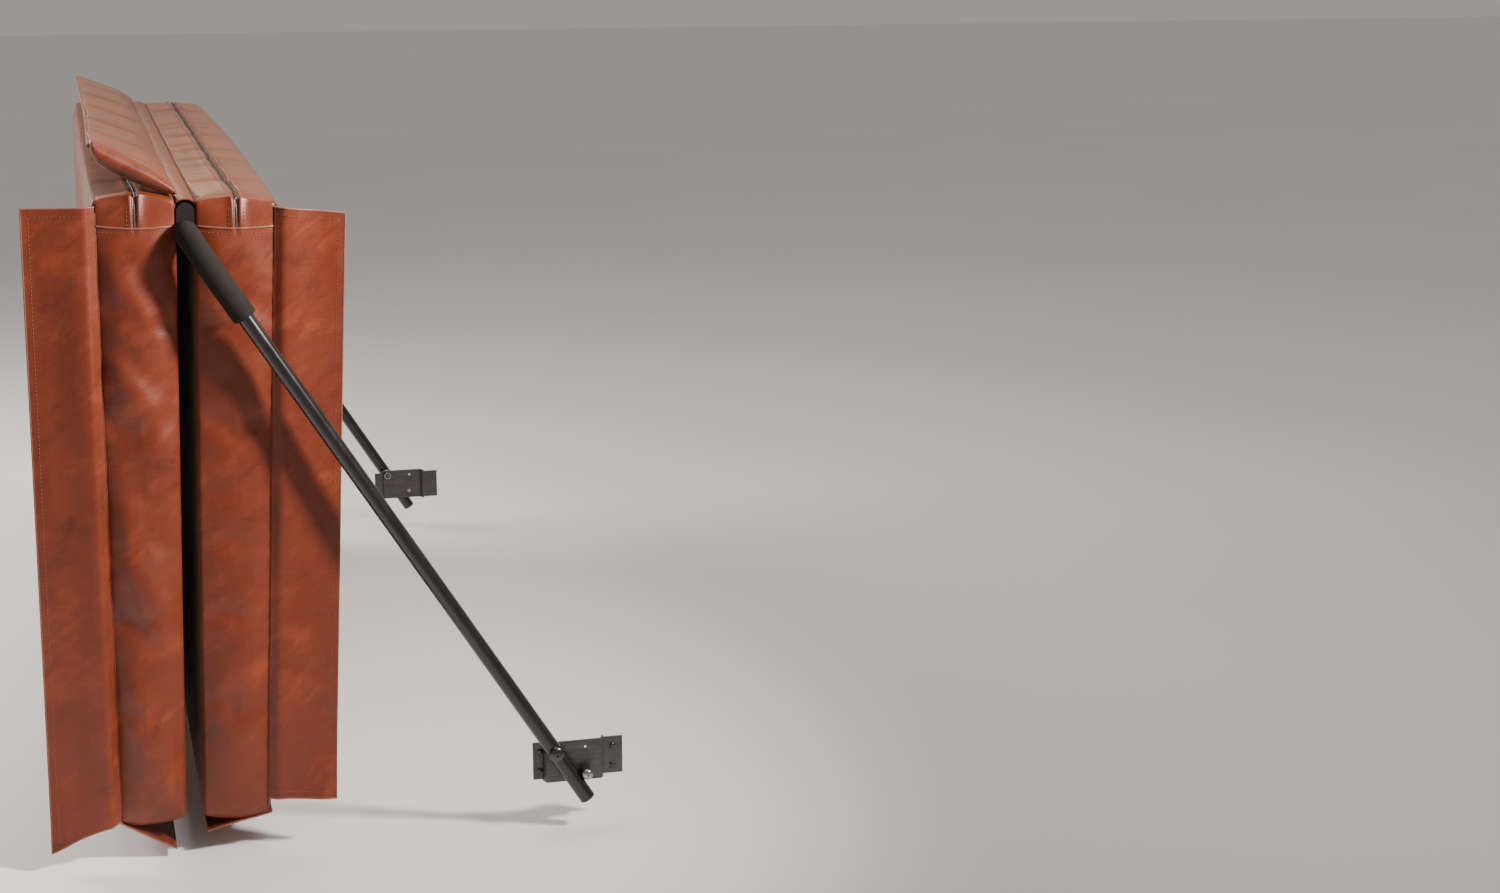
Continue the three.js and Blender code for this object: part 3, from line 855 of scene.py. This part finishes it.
class Surface:
    """Finds points on a half's finished casing, in the half's own axes."""

    def __init__(self, half):
        mesh = bpy.data.objects[f"{half}_casing"].data
        back = half_frame(half).inverted()
        points = [back @ v.co for v in mesh.vertices]
        self.tree = BVHTree.FromPolygons(points, [list(p.vertices) for p in mesh.polygons])

    def end(self, x, drop, outwards, proud):
        """The point on an end face at x and drop, proud of the vinyl by a little."""
        start = Vector((x, 3 * outwards + DEPTH / 2, -drop))
        hit = self.tree.ray_cast(start, Vector((0, -outwards, 0)))[0]
        return (x, hit.y + outwards * proud, -drop) if hit else None

    def fold(self, x, y, proud):
        hit = self.tree.ray_cast(Vector((x, y, 0.5)), Vector((0, 0, -1)))[0]
        return (x, y, hit.z + proud) if hit else None


def band_path(surface, x, proud, end_proud=None):
    """A line that runs along the fold at x, over both ends and down to the end panels' hems."""
    end_proud = proud if end_proud is None else end_proud
    drops = [FOLD_RETURN * s for s in (1, 0.85, 0.7, 0.55, 0.4, 0.28)]
    front = [surface.end(x, d, -1, end_proud) for d in drops]
    along_fold = [surface.fold(x, 0.004 + (DEPTH - 0.008) * i / 90, proud) for i in range(91)]
    back = [surface.end(x, d, 1, end_proud) for d in reversed(drops)]
    return [p for p in front + along_fold + back if p]


# How proud of the vinyl a zipper's tape and coil lie on the fold and at the ends, and their radius.
TAPE_PROUD, TAPE_END_PROUD, TAPE_RADIUS = 0.0002, -0.0012, 0.0024
COIL_PROUD, COIL_END_PROUD, COIL_RADIUS = 0.0024, 0.0006, 0.0012
COIL_PITCH = 0.0042
ZIP_SEAM = 0.0125  # from the zipper's middle to its stitches


class SPA_OT_zippers(bpy.types.Operator):
    """Makes each half's zipper: its tape, its coil and the stitches to either side"""
    bl_idname = "spa.zippers"
    bl_label = "Zippers"

    def execute(self, context):
        centre = THICK / 2
        for half in HALVES:
            surface = Surface(half)
            tape_path = band_path(surface, centre, TAPE_PROUD, TAPE_END_PROUD)
            on_half(tube(f"{half}_zipper_tape", tape_path, TAPE_RADIUS), half, "zip", [f"{half}_zipper"])
            coil_path = band_path(surface, centre, COIL_PROUD, COIL_END_PROUD)
            coil = stitches(f"{half}_zipper_coil", [coil_path], COIL_PITCH, COIL_RADIUS)
            on_half(coil, half, "coil")
            rows = [band_path(surface, centre + side * ZIP_SEAM, 0.0004) for side in (-1, 1)]
            sewn = stitches(f"{half}_zipper_stitches", rows, context.scene.spa_cover.stitch)
            on_half(sewn, half, "thread")
        return {"FINISHED"}


class SPA_OT_hems(bpy.types.Operator):
    """Makes the hem across each end panel's top and the seam piping beside the skirts"""
    bl_idname = "spa.hems"
    bl_label = "Hems and seams"

    def execute(self, context):
        sizes = context.scene.spa_cover
        wide = thickness_at(FOLD_RETURN)
        for half in HALVES:
            surface = Surface(half)
            for end, outwards in (("front", -1), ("back", 1)):

                def hem_line(drop, proud):
                    """A line across the end face that dips a little in its middle."""
                    spots = [(0.006 + (wide - 0.012) * i / 24, 0.003 * math.sin(math.pi * i / 24))
                             for i in range(25)]
                    line = [surface.end(x, drop + dip, outwards, proud) for x, dip in spots]
                    return [p for p in line if p]

                name = f"{half}_{end}"
                on_half(tube(f"{name}_hem", hem_line(FOLD_RETURN, 0.0002), sizes.piping), half, "edge")
                drops = [0.02 + (HEIGHT - 0.034) * i / 60 for i in range(61)]
                seam = [surface.end(thickness_at(d) - 0.004, d, outwards, 0.0002) for d in drops]
                on_half(tube(f"{name}_piping", [p for p in seam if p], sizes.piping), half, "vinyl")
                rows = [hem_line(FOLD_RETURN + 0.009, 0.0003)]
                on_half(stitches(f"{name}_hem_stitches", rows, sizes.stitch), half, "thread")
        return {"FINISHED"}


# ---- Skirts

# How each front skirt hangs: how far its outer corner drops at the bottom and the top, how much its
# lower end is short of the rim, the height of its rolled seam and of its waves, and its noise seed.
HANGS = {
    "outer": {"bottom": 0.043, "top": 0.004, "short": 0.0, "roll": 0.016, "wave": 0.010, "seed": 7.0},
    "inner": {"bottom": 0.004, "top": 0.010, "short": 0.028, "roll": 0.011, "wave": 0.006, "seed": 2.0},
}
ROLL_CREST = 0.13  # share of the skirt's width at which its rolled seam is highest
WELT_RADIUS = 0.0042


def edge_path(point):
    """The three free edges of a skirt, from its seam's top round to its seam's bottom."""
    top = [point(i / 16, 0) for i in range(16)]
    outer = [point(1, i / 70) for i in range(70)]
    bottom = [point(1 - i / 16, 1) for i in range(17)]
    return top + outer + bottom


def skirt_pieces(node, half, body, matrix, point, flat, area=None):
    """A hemmed flap of vinyl: the sheet, its rolled edge and its stitching."""
    sizes = bpy.context.scene.spa_cover
    name = f"{node}_flap"
    flap = vinyl_sheet(name, 22, 110, point, sizes.cloth)
    finish(flap, "vinyl", body, matrix, [node])
    roll = tube(f"{name}_roll", edge_path(point), sizes.piping * 0.9)
    finish(roll, "edge", body, matrix)
    rows = []
    for side in (-1, 1):

        def inset(u, v):
            x, y, z = point(min(u, 0.9), 0.012 + 0.976 * v)
            return (x, y + side * (sizes.cloth / 2 + 0.0002), z)

        rows.append(edge_path(inset))
    sewn = stitches(f"{name}_stitches", rows, sizes.stitch)
    finish(sewn, "thread", body, matrix)


def back_skirt_shape(half):
    """A back skirt, folded at its seam to lie flat over the end face."""
    width = bpy.context.scene.spa_cover.skirt
    surface = Surface(half)
    bottom = HEIGHT - 0.012

    def point(u, v):
        drop = SKIRT_TOP + (bottom - SKIRT_TOP) * v
        x = thickness_at(drop) - 0.004 - (width - 0.006) * u
        lies_on = surface.end(x, drop, 1, 0.0)
        y = max(lies_on[1] if lies_on else DEPTH, DEPTH - 0.002)
        curl = 0.004 * u**3 * (1 + drift(drop * 3, u, 11.0))
        return (x, y + 0.0026 + 0.003 * hump(u, 0, 0.06) + curl, -drop)

    return point


def front_skirt_shape(half):
    """A front skirt, standing out from its seam and hanging a little past the casing."""
    width = bpy.context.scene.spa_cover.skirt
    hang = HANGS[half]
    seed = hang["seed"]

    def point(u, v):
        top = SKIRT_TOP + hang["top"] * u
        bottom = HEIGHT - hang["short"] + hang["bottom"] * u**1.3
        drop = top + (bottom - top) * v
        x = thickness_at(min(drop, HEIGHT)) - 0.003 + (width + 0.003) * u
        roll = hang["roll"] * hump(u, ROLL_CREST, 0.075 if u < ROLL_CREST else 0.38)
        roll *= 0.85 + 0.3 * drift(drop * 5, 1.0, seed)
        free = clamp((u - 0.3) / 0.5)
        wave = hang["wave"] * free * drift(drop * 2.6, u * 1.4, seed)
        flare = 0.014 * free * max(0.0, (v - 0.85) / 0.15) ** 2
        return (x, -(0.0012 + roll + wave + flare), -drop)

    return point


class SPA_OT_end_skirts(bpy.types.Operator):
    """Makes the four skirts at the ends of the halves"""
    bl_idname = "spa.end_skirts"
    bl_label = "End skirts"

    def execute(self, context):
        width = context.scene.spa_cover.skirt
        back_length = HEIGHT - SKIRT_TOP
        for half in HALVES:
            bottom = HANGS[half]["bottom"]
            length = back_length - HANGS[half]["short"]
            skirts = {
                "front": (front_skirt_shape(half), (width, length + bottom), width * (length + bottom / 2)),
                "back": (back_skirt_shape(half), (width, back_length), None),
            }
            for end, skirt in skirts.items():
                skirt_pieces(f"{half}_{end}_skirt", half, f"{half}_half", half_frame(half), *skirt)
        return {"FINISHED"}


class SPA_OT_side_skirts(bpy.types.Operator):
    """Makes the two long skirts along the free edges, tucked under the hanging halves"""
    bl_idname = "spa.side_skirts"
    bl_label = "Side skirts"

    def execute(self, context):
        width = context.scene.spa_cover.skirt
        for half, facing in HALVES.items():
            node = f"{half}_side_skirt"
            low, high = stack_box(node)
            # The seam lies on the skirt's hinge, at the CAD skirt's outer top edge.
            seam = Vector((max(abs(low.x), abs(high.x)) * facing, 0, high.z))
            dip = math.asin(min(1.0, abs(low.z - seam.z) / width))
            length = high.y - low.y

            def point(u, v):
                out = -facing * math.cos(dip) * width * u
                wave = 0.004 * u * drift(v * 9, u, 3.0 * facing)
                return (seam.x + out, low.y + length * v, seam.z - math.sin(dip) * width * u + wave)

            skirt_pieces(node, half, node, STACK, point, (width, length))
            welt_x = seam.x - facing * 0.003
            line = [(welt_x, 0.003 + (DEPTH - 0.006) * i / 60, seam.z + 0.0025) for i in range(61)]
            finish(tube(f"{half}_rim_welt", line, WELT_RADIUS), "vinyl", f"{half}_half", STACK)
        return {"FINISHED"}


# ---- Hinge strip and heat seal


class SPA_OT_hinge_strip(bpy.types.Operator):
    """Makes the strip of vinyl that hangs over the crossbar and joins the halves"""
    bl_idname = "spa.hinge_strip"
    bl_label = "Hinge strip"

    def execute(self, context):
        half_width = GAP / 2 - 0.0003

        def point(u, v):
            across = 2 * u - 1
            arch = 0.0045 * (1 - across**2)
            wave = 0.0008 * drift(v * 22, u * 2, 5.0)
            return (across * half_width, DEPTH * v, FOLD_TOP - 0.0012 + arch + wave)

        strip = vinyl_sheet("hinge_strip_vinyl", 14, 120, point, 0.0022)
        finish(strip, "vinyl", "hinge_strip", STACK, ["hinge_strip"])
        rows = [[point(side, i / 120) for i in range(121)] for side in (0.07, 0.93)]
        rows = [[(x, y, z + 0.0014) for x, y, z in row] for row in rows]
        sewn = stitches("hinge_strip_stitches", rows, context.scene.spa_cover.stitch)
        finish(sewn, "thread", "hinge_strip", STACK)
        return {"FINISHED"}


SEAL_WIDTH = 0.15
SEAL_THICK = 0.022
SEAL_SEAM = 0.011  # from the middle of the hinge strip
SEAL_CORNER = 0.009
SEAL_PUFF = 0.003


def seal_place(across, y, up):
    """From the flat pad (across from its seam, along, up from its underside) to its twisted place."""
    sizes = bpy.context.scene.spa_cover
    share = clamp(y / DEPTH)
    sag = math.sin(math.pi * share)
    tilt = sizes.seal_front + (sizes.seal_back - sizes.seal_front) * share**0.6
    tilt -= math.radians(4.0) * sag
    across *= 1 - 0.08 * share - 0.07 * sag
    x = -SEAL_SEAM - across * math.cos(tilt) - up * math.sin(tilt)
    lifted = 0.002 + 0.009 * hump(y, 0, 0.25)
    return (x, y, FOLD_TOP + lifted + across * math.sin(tilt) + up * math.cos(tilt))


def seal_shape(across, y, up):
    """Moves a point of the puffed flat pad to where the finished seal has it."""
    front = hump(y, 0.012, 0.042)
    share = clamp(across / SEAL_WIDTH)
    bulge = front * share**0.6 * (1 - 0.3 * share**6)
    level = up / SEAL_THICK - 0.5
    # The pad thins towards its seam, and its front end is rolled up thicker.
    height = SEAL_THICK * (0.45 + 0.55 * min(1.0, across / 0.03))
    up = (level + 0.5) * height + level * 0.040 * bulge - 0.010 * bulge
    # The rolled front end is round, and leans out lower down at its free corner.
    y -= 0.006 * front * share**0.5 * (1 - 4 * level**2)
    across += front * share**3 * (0.003 - 0.018 * level)
    up += 0.003 * drift(across * 7, y * 4, 1.0)
    across += 0.004 * drift(y * 3.3, 2.0, 6.0) * across / SEAL_WIDTH
    return seal_place(across, y, up)


class SPA_OT_heat_seal(bpy.types.Operator):
    """Makes the padded heat seal that lies over the outer half's fold"""
    bl_idname = "spa.heat_seal"
    bl_label = "Heat seal"

    def execute(self, context):
        size = (SEAL_WIDTH, DEPTH, SEAL_THICK)
        pad = cut_block("heat_seal_pad", size, SEAL_CORNER, (8, 100, 3))
        held = np.clip(1 - from_seam(points_of(pad), size) / 0.01, 0, 1) * 0.8
        puff(pad, 1.2, SEAL_PUFF, 0.01, held)
        set_points(pad, np.array([seal_shape(*point) for point in points_of(pad)]))
        apply(normals_out(pad), "SUBSURF", levels=1, render_levels=1)
        finish(pad, "vinyl", "heat_seal", STACK, ["heat_seal_casing", "heat_seal_foam"], 60)
        places = [0.03 + (DEPTH - 0.06) * i / 90 for i in range(91)]
        rim = [seal_place(SEAL_WIDTH + 0.002, y, SEAL_THICK * 0.55) for y in places]
        finish(tube("heat_seal_piping", rim, 0.0034), "edge", "heat_seal", STACK)
        return {"FINISHED"}


# ---- Lifter


def arm_frame():
    """From an upright arm with its pivot at the origin to the leaning arm at the front."""
    return Matrix.Translation((PIVOT.x, ARM_PLANE, PIVOT.z)) @ Matrix.Rotation(-ARM_LEAN, 4, "Y")


def bent_tube(name, low, along_bar, radius, wall, steps=1):
    """A tube that stands on a circle, is drawn up, spun round the elbow and drawn along the crossbar."""
    sizes = bpy.context.scene.spa_lifter
    elbow = ARM_REACH - sizes.bend
    deselect()
    bpy.ops.mesh.primitive_circle_add(vertices=sizes.sides, radius=radius, location=(0, 0, low))
    obj = named(name)
    edit(obj, "SELECT")
    for step in range(steps):
        bpy.ops.mesh.extrude_region_move(TRANSFORM_OT_translate={"value": (0, 0, (elbow - low) / steps)})
    bpy.ops.mesh.spin(steps=14, angle=math.pi / 2, center=(0, sizes.bend, elbow), axis=(1, 0, 0))
    if along_bar:
        bpy.ops.mesh.extrude_region_move(TRANSFORM_OT_translate={"value": (0, along_bar, 0)})
    done()
    return apply(normals_out(obj, 1e-6), "SOLIDIFY", thickness=wall, offset=-1)


class SPA_OT_arms(bpy.types.Operator):
    """Makes the two bent arms; the crossbar between them keeps its own shape"""
    bl_idname = "spa.arms"
    bl_label = "Arms"

    def execute(self, context):
        sizes = context.scene.spa_lifter
        low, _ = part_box("front_arm")
        tail = -(PIVOT.z - low.z - sizes.tube * math.sin(ARM_LEAN)) / math.cos(ARM_LEAN)
        clearance = 0.0005
        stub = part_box("crossbar_tube")[0].y - ARM_PLANE - sizes.bend - clearance
        arm = bent_tube("front_arm_tube", tail, stub, sizes.tube, wall=0.0015)
        finish_pair(place(arm, arm_frame()), "arm", "tube", "lifter", 30)
        return {"FINISHED"}


class SPA_OT_grips(bpy.types.Operator):
    """Makes the foam grips over the elbows"""
    bl_idname = "spa.grips"
    bl_label = "Grips"

    def execute(self, context):
        sizes = context.scene.spa_lifter
        elbow = ARM_REACH - sizes.bend
        radius = 0.021
        length = 0.115
        wall = radius - sizes.tube - 0.0004
        grip = bent_tube("front_grip_foam", elbow - length, 0.0, radius, wall, steps=14)
        apply(grip, "BEVEL", width=0.003, segments=3, limit_method="ANGLE", angle_limit=math.radians(60))
        points = points_of(grip)
        for point in points:
            x, y, z = point
            swell = 0.0009 * drift(x * 20, y * 22, z * 26)
            out = Vector((x, y if z < elbow else 0, 0))
            if out.length > sizes.tube * 1.15:
                out.normalize()
                point[0] += out.x * swell
                point[1] += out.y * swell
        set_points(grip, points)
        finish_pair(place(grip, arm_frame()), "grip", "grip", "lifter", 50)
        return {"FINISHED"}


class SPA_OT_brackets(bpy.types.Operator):
    """Makes the folded brackets with softened edges"""
    bl_idname = "spa.brackets"
    bl_label = "Brackets"

    def execute(self, context):
        for node in ("front_bracket", "rear_bracket"):
            plate = softened(node, "plate", 0.0006, 25)
            finish(plate, "sheet", "brackets", None, [node], 35)
        return {"FINISHED"}


def facing_out(seat):
    """A matrix that stands a turned piece's height along -Y, out from the front bracket."""
    return Matrix.Translation(seat) @ Matrix.Rotation(math.pi / 2, 4, "X")


def dome(radius, height, steps=8):
    """Rings of a domed head, from its flat side up, ending in a small flat."""
    rings = [(radius, 0.0), (radius, height * 0.12)]
    for i in range(1, steps):
        angle = i / steps * math.pi / 2
        rings.append((radius * math.cos(angle), height * (0.12 + 0.88 * math.sin(angle))))
    return rings


# Each screw's name ending, head radius, head height, recess radius and finish.
SCREWS = {
    "pivot_bolt": ("dome", 0.0145, 0.008, 0.0026, "dark_steel"),
    "stop_screw": ("dome", 0.0098, 0.006, 0.0022, "steel"),
    **{f"bracket_screw_{i}": ("pan", 0.005, 0.003, 0.0013, "dark_steel") for i in range(1, 5)},
}
SHANK_LIMIT = 0.05
# Rings of the stop bumper, its radius as a share, then its height as a share and an added length.
BUMPER = (
    (0.94, 0, 0), (1, 0, 0.0015), (0.97, 0.3, 0), (0.95, 0.5, 0), (0.97, 0.7, 0), (1, 1, -0.0015),
    (0.94, 1, 0),
)
BUMPER_HOLE = 0.0028
PLUG_RINGS = (
    (0.0122, -0.014), (0.0122, 0.0002), (0.014, 0.0002), (0.014, 0.0018), (0.0132, 0.0028),
    (0.0118, 0.0032),
)
PLUG_REACH = 0.107  # from the pivot to the arm's lower end


def screw(node, ending, head_radius, head_height, recess):
    """A domed screw or bolt with a driven recess in its crown, its shank behind the head."""
    low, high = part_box(f"front_{node}")
    centre = (low + high) / 2
    shank = min((high.y - low.y) - head_height, SHANK_LIMIT)
    shank_radius = head_radius / 2.2
    crown = dome(head_radius, head_height)
    top = crown[-1][1]
    socket = [(recess, top), (recess, top - head_height * 0.45)]
    rings = [(shank_radius, -shank), (shank_radius, 0.0)] + crown + socket
    seat = Vector((centre.x, low.y + head_height, centre.z))
    return turned(f"front_{node}_{ending}", rings, facing_out(seat))


def bumper():
    low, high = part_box("front_stop_bumper")
    tall = high.y - low.y
    radius = (high.x - low.x) / 2
    seat = Vector(((low.x + high.x) / 2, high.y, (low.z + high.z) / 2))
    rings = [(radius * wide, tall * share + more) for wide, share, more in BUMPER]
    return turned("front_stop_bumper_rubber", rings + [(BUMPER_HOLE, tall)], facing_out(seat))


def tail_plug():
    reach = Vector((math.sin(ARM_LEAN), 0, -math.cos(ARM_LEAN))) * PLUG_REACH
    tail = Vector((PIVOT.x, ARM_PLANE, PIVOT.z)) + reach
    down = Matrix.Translation(tail) @ Matrix.Rotation(math.pi - ARM_LEAN, 4, "Y")
    return turned("front_tail_plug_cap", PLUG_RINGS, down)


class SPA_OT_hardware(bpy.types.Operator):
    """Makes the pivot bolts, washers, nuts, stop bumpers, screws and tail plugs"""
    bl_idname = "spa.hardware"
    bl_label = "Hardware"

    def execute(self, context):
        made = []
        for node, (ending, radius, height, recess, finish_name) in SCREWS.items():
            made.append((screw(node, ending, radius, height, recess), node, finish_name, "brackets"))
        made.append((bumper(), "stop_bumper", "rubber", "brackets"))
        made.append((tail_plug(), "tail_plug", "plastic", "lifter"))
        for piece in made:
            finish_pair(*piece)
        for side in ("front", "rear"):
            washer = softened(f"{side}_pivot_washer", "nylon", 0.0004)
            finish(washer, "nylon", "brackets", None, [f"{side}_pivot_washer"])
            nut = softened(f"{side}_pivot_nut", "hex", 0.0006)
            finish(nut, "steel", "brackets", None, [f"{side}_pivot_nut"])
        return {"FINISHED"}


class SPA_OT_inside(bpy.types.Operator):
    """Gives the pieces that keep their own shape, inside the cover, their materials"""
    bl_idname = "spa.inside"
    bl_label = "Inside pieces"

    def execute(self, context):
        kept = {"crossbar_tube": "tube", "crossbar_sleeve": "grip"}
        for half in HALVES:
            kept[f"{half}_foam_core"] = "foam"
            kept[f"{half}_edge_channel"] = "galvanised"
        for node, finish_name in kept.items():
            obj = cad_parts[node]
            obj.data.materials.clear()
            obj.data.materials.append(look(finish_name))
        return {"FINISHED"}


# ---- Stage

# Each light's place, target, size, power, colour and spread in degrees.
LIGHTS = {
    "key": ((1.35, -1.3, 2.1), (-0.7, 0.1, 1.1), (0.36, 0.36), 44, (1, 0.93, 0.84), 78),
    "left_back": ((-3.6, 2.8, 2.4), (-0.9, 0.8, 0.6), (2.0, 2.4), 200, (1, 0.97, 0.93), 180),
    "top": ((-0.4, 1.2, 3.6), (-0.7, 0.9, 0.9), (2.4, 2.4), 60, (1, 0.95, 0.88), 180),
}
ROOM_LIGHT = (1.0, 0.96, 0.9, 1)
ROOM_STRENGTH = 0.36


def softbox(name, at, towards, size, power, color, spread):
    deselect()
    bpy.ops.object.light_add(type="AREA", location=at)
    light = bpy.context.object
    light.name = name
    light.data.shape = "RECTANGLE"
    light.data.size, light.data.size_y = size
    light.data.energy = power
    light.data.color = color
    light.data.spread = math.radians(spread)
    light.rotation_euler = (Vector(towards) - Vector(at)).to_track_quat("-Z", "Y").to_euler()


class SPA_OT_stage(bpy.types.Operator):
    """Sets the camera, a plain pale floor and soft studio light"""
    bl_idname = "spa.stage"
    bl_label = "Stage"

    def execute(self, context):
        stage = context.scene.spa_stage
        deselect()
        bpy.ops.object.camera_add(location=stage.place, rotation=(stage.pitch, 0, stage.yaw))
        camera = context.object
        camera.data.sensor_width = 36
        camera.data.lens = stage.lens
        context.scene.camera = camera
        deselect()
        bpy.ops.mesh.primitive_plane_add(size=60, location=(0, 0, stage.floor))
        floor = named("floor")
        n = Nodes("pale_floor")
        color = n.ramp(n.noise(0.8), [(0.3, (0.86, 0.86, 0.86)), (0.7, (0.89, 0.89, 0.89))])
        n.link(color, n.shader.inputs["Base Color"])
        n.shader.inputs["Roughness"].default_value = 0.9
        floor.data.materials.append(n.material)
        world = bpy.data.worlds.new("studio")
        world.use_nodes = True
        background = world.node_tree.nodes["Background"]
        background.inputs["Color"].default_value = ROOM_LIGHT
        background.inputs["Strength"].default_value = ROOM_STRENGTH
        context.scene.world = world
        for name, light in LIGHTS.items():
            softbox(name, *light)
        return {"FINISHED"}


# ---- Panel and registration

STEPS = (
    SPA_OT_stage, SPA_OT_casings, SPA_OT_zippers, SPA_OT_hems, SPA_OT_end_skirts, SPA_OT_side_skirts,
    SPA_OT_hinge_strip, SPA_OT_heat_seal, SPA_OT_arms, SPA_OT_grips, SPA_OT_brackets, SPA_OT_hardware,
    SPA_OT_inside,
)
GROUPS = {
    "spa_cover": SpaCoverSizes,
    "spa_look": SpaCoverLook,
    "spa_lifter": SpaLifterSizes,
    "spa_stage": SpaStage,
}


class SPA_PT_panel(bpy.types.Panel):
    """A button for each piece, and the sizes and colours they use"""
    bl_idname = "SPA_PT_panel"
    bl_label = "Spa Cover"
    bl_space_type = "VIEW_3D"
    bl_region_type = "UI"
    bl_category = "Spa Cover"

    def draw(self, context):
        for step in STEPS:
            self.layout.operator(step.bl_idname)
        for key, group in GROUPS.items():
            box = self.layout.box()
            for size in group.__annotations__:
                box.prop(getattr(context.scene, key), size)


def register():
    for kind in (*GROUPS.values(), *STEPS, SPA_PT_panel):
        bpy.utils.register_class(kind)
    for key, group in GROUPS.items():
        setattr(bpy.types.Scene, key, PointerProperty(type=group))


def unregister():
    for key in GROUPS:
        delattr(bpy.types.Scene, key)
    for kind in reversed((*GROUPS.values(), *STEPS, SPA_PT_panel)):
        bpy.utils.unregister_class(kind)


def main():
    register()
    for step in STEPS:
        family, action = step.bl_idname.split(".")
        getattr(getattr(bpy.ops, family), action)()
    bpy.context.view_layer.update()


if __name__ == "__main__":
    main()
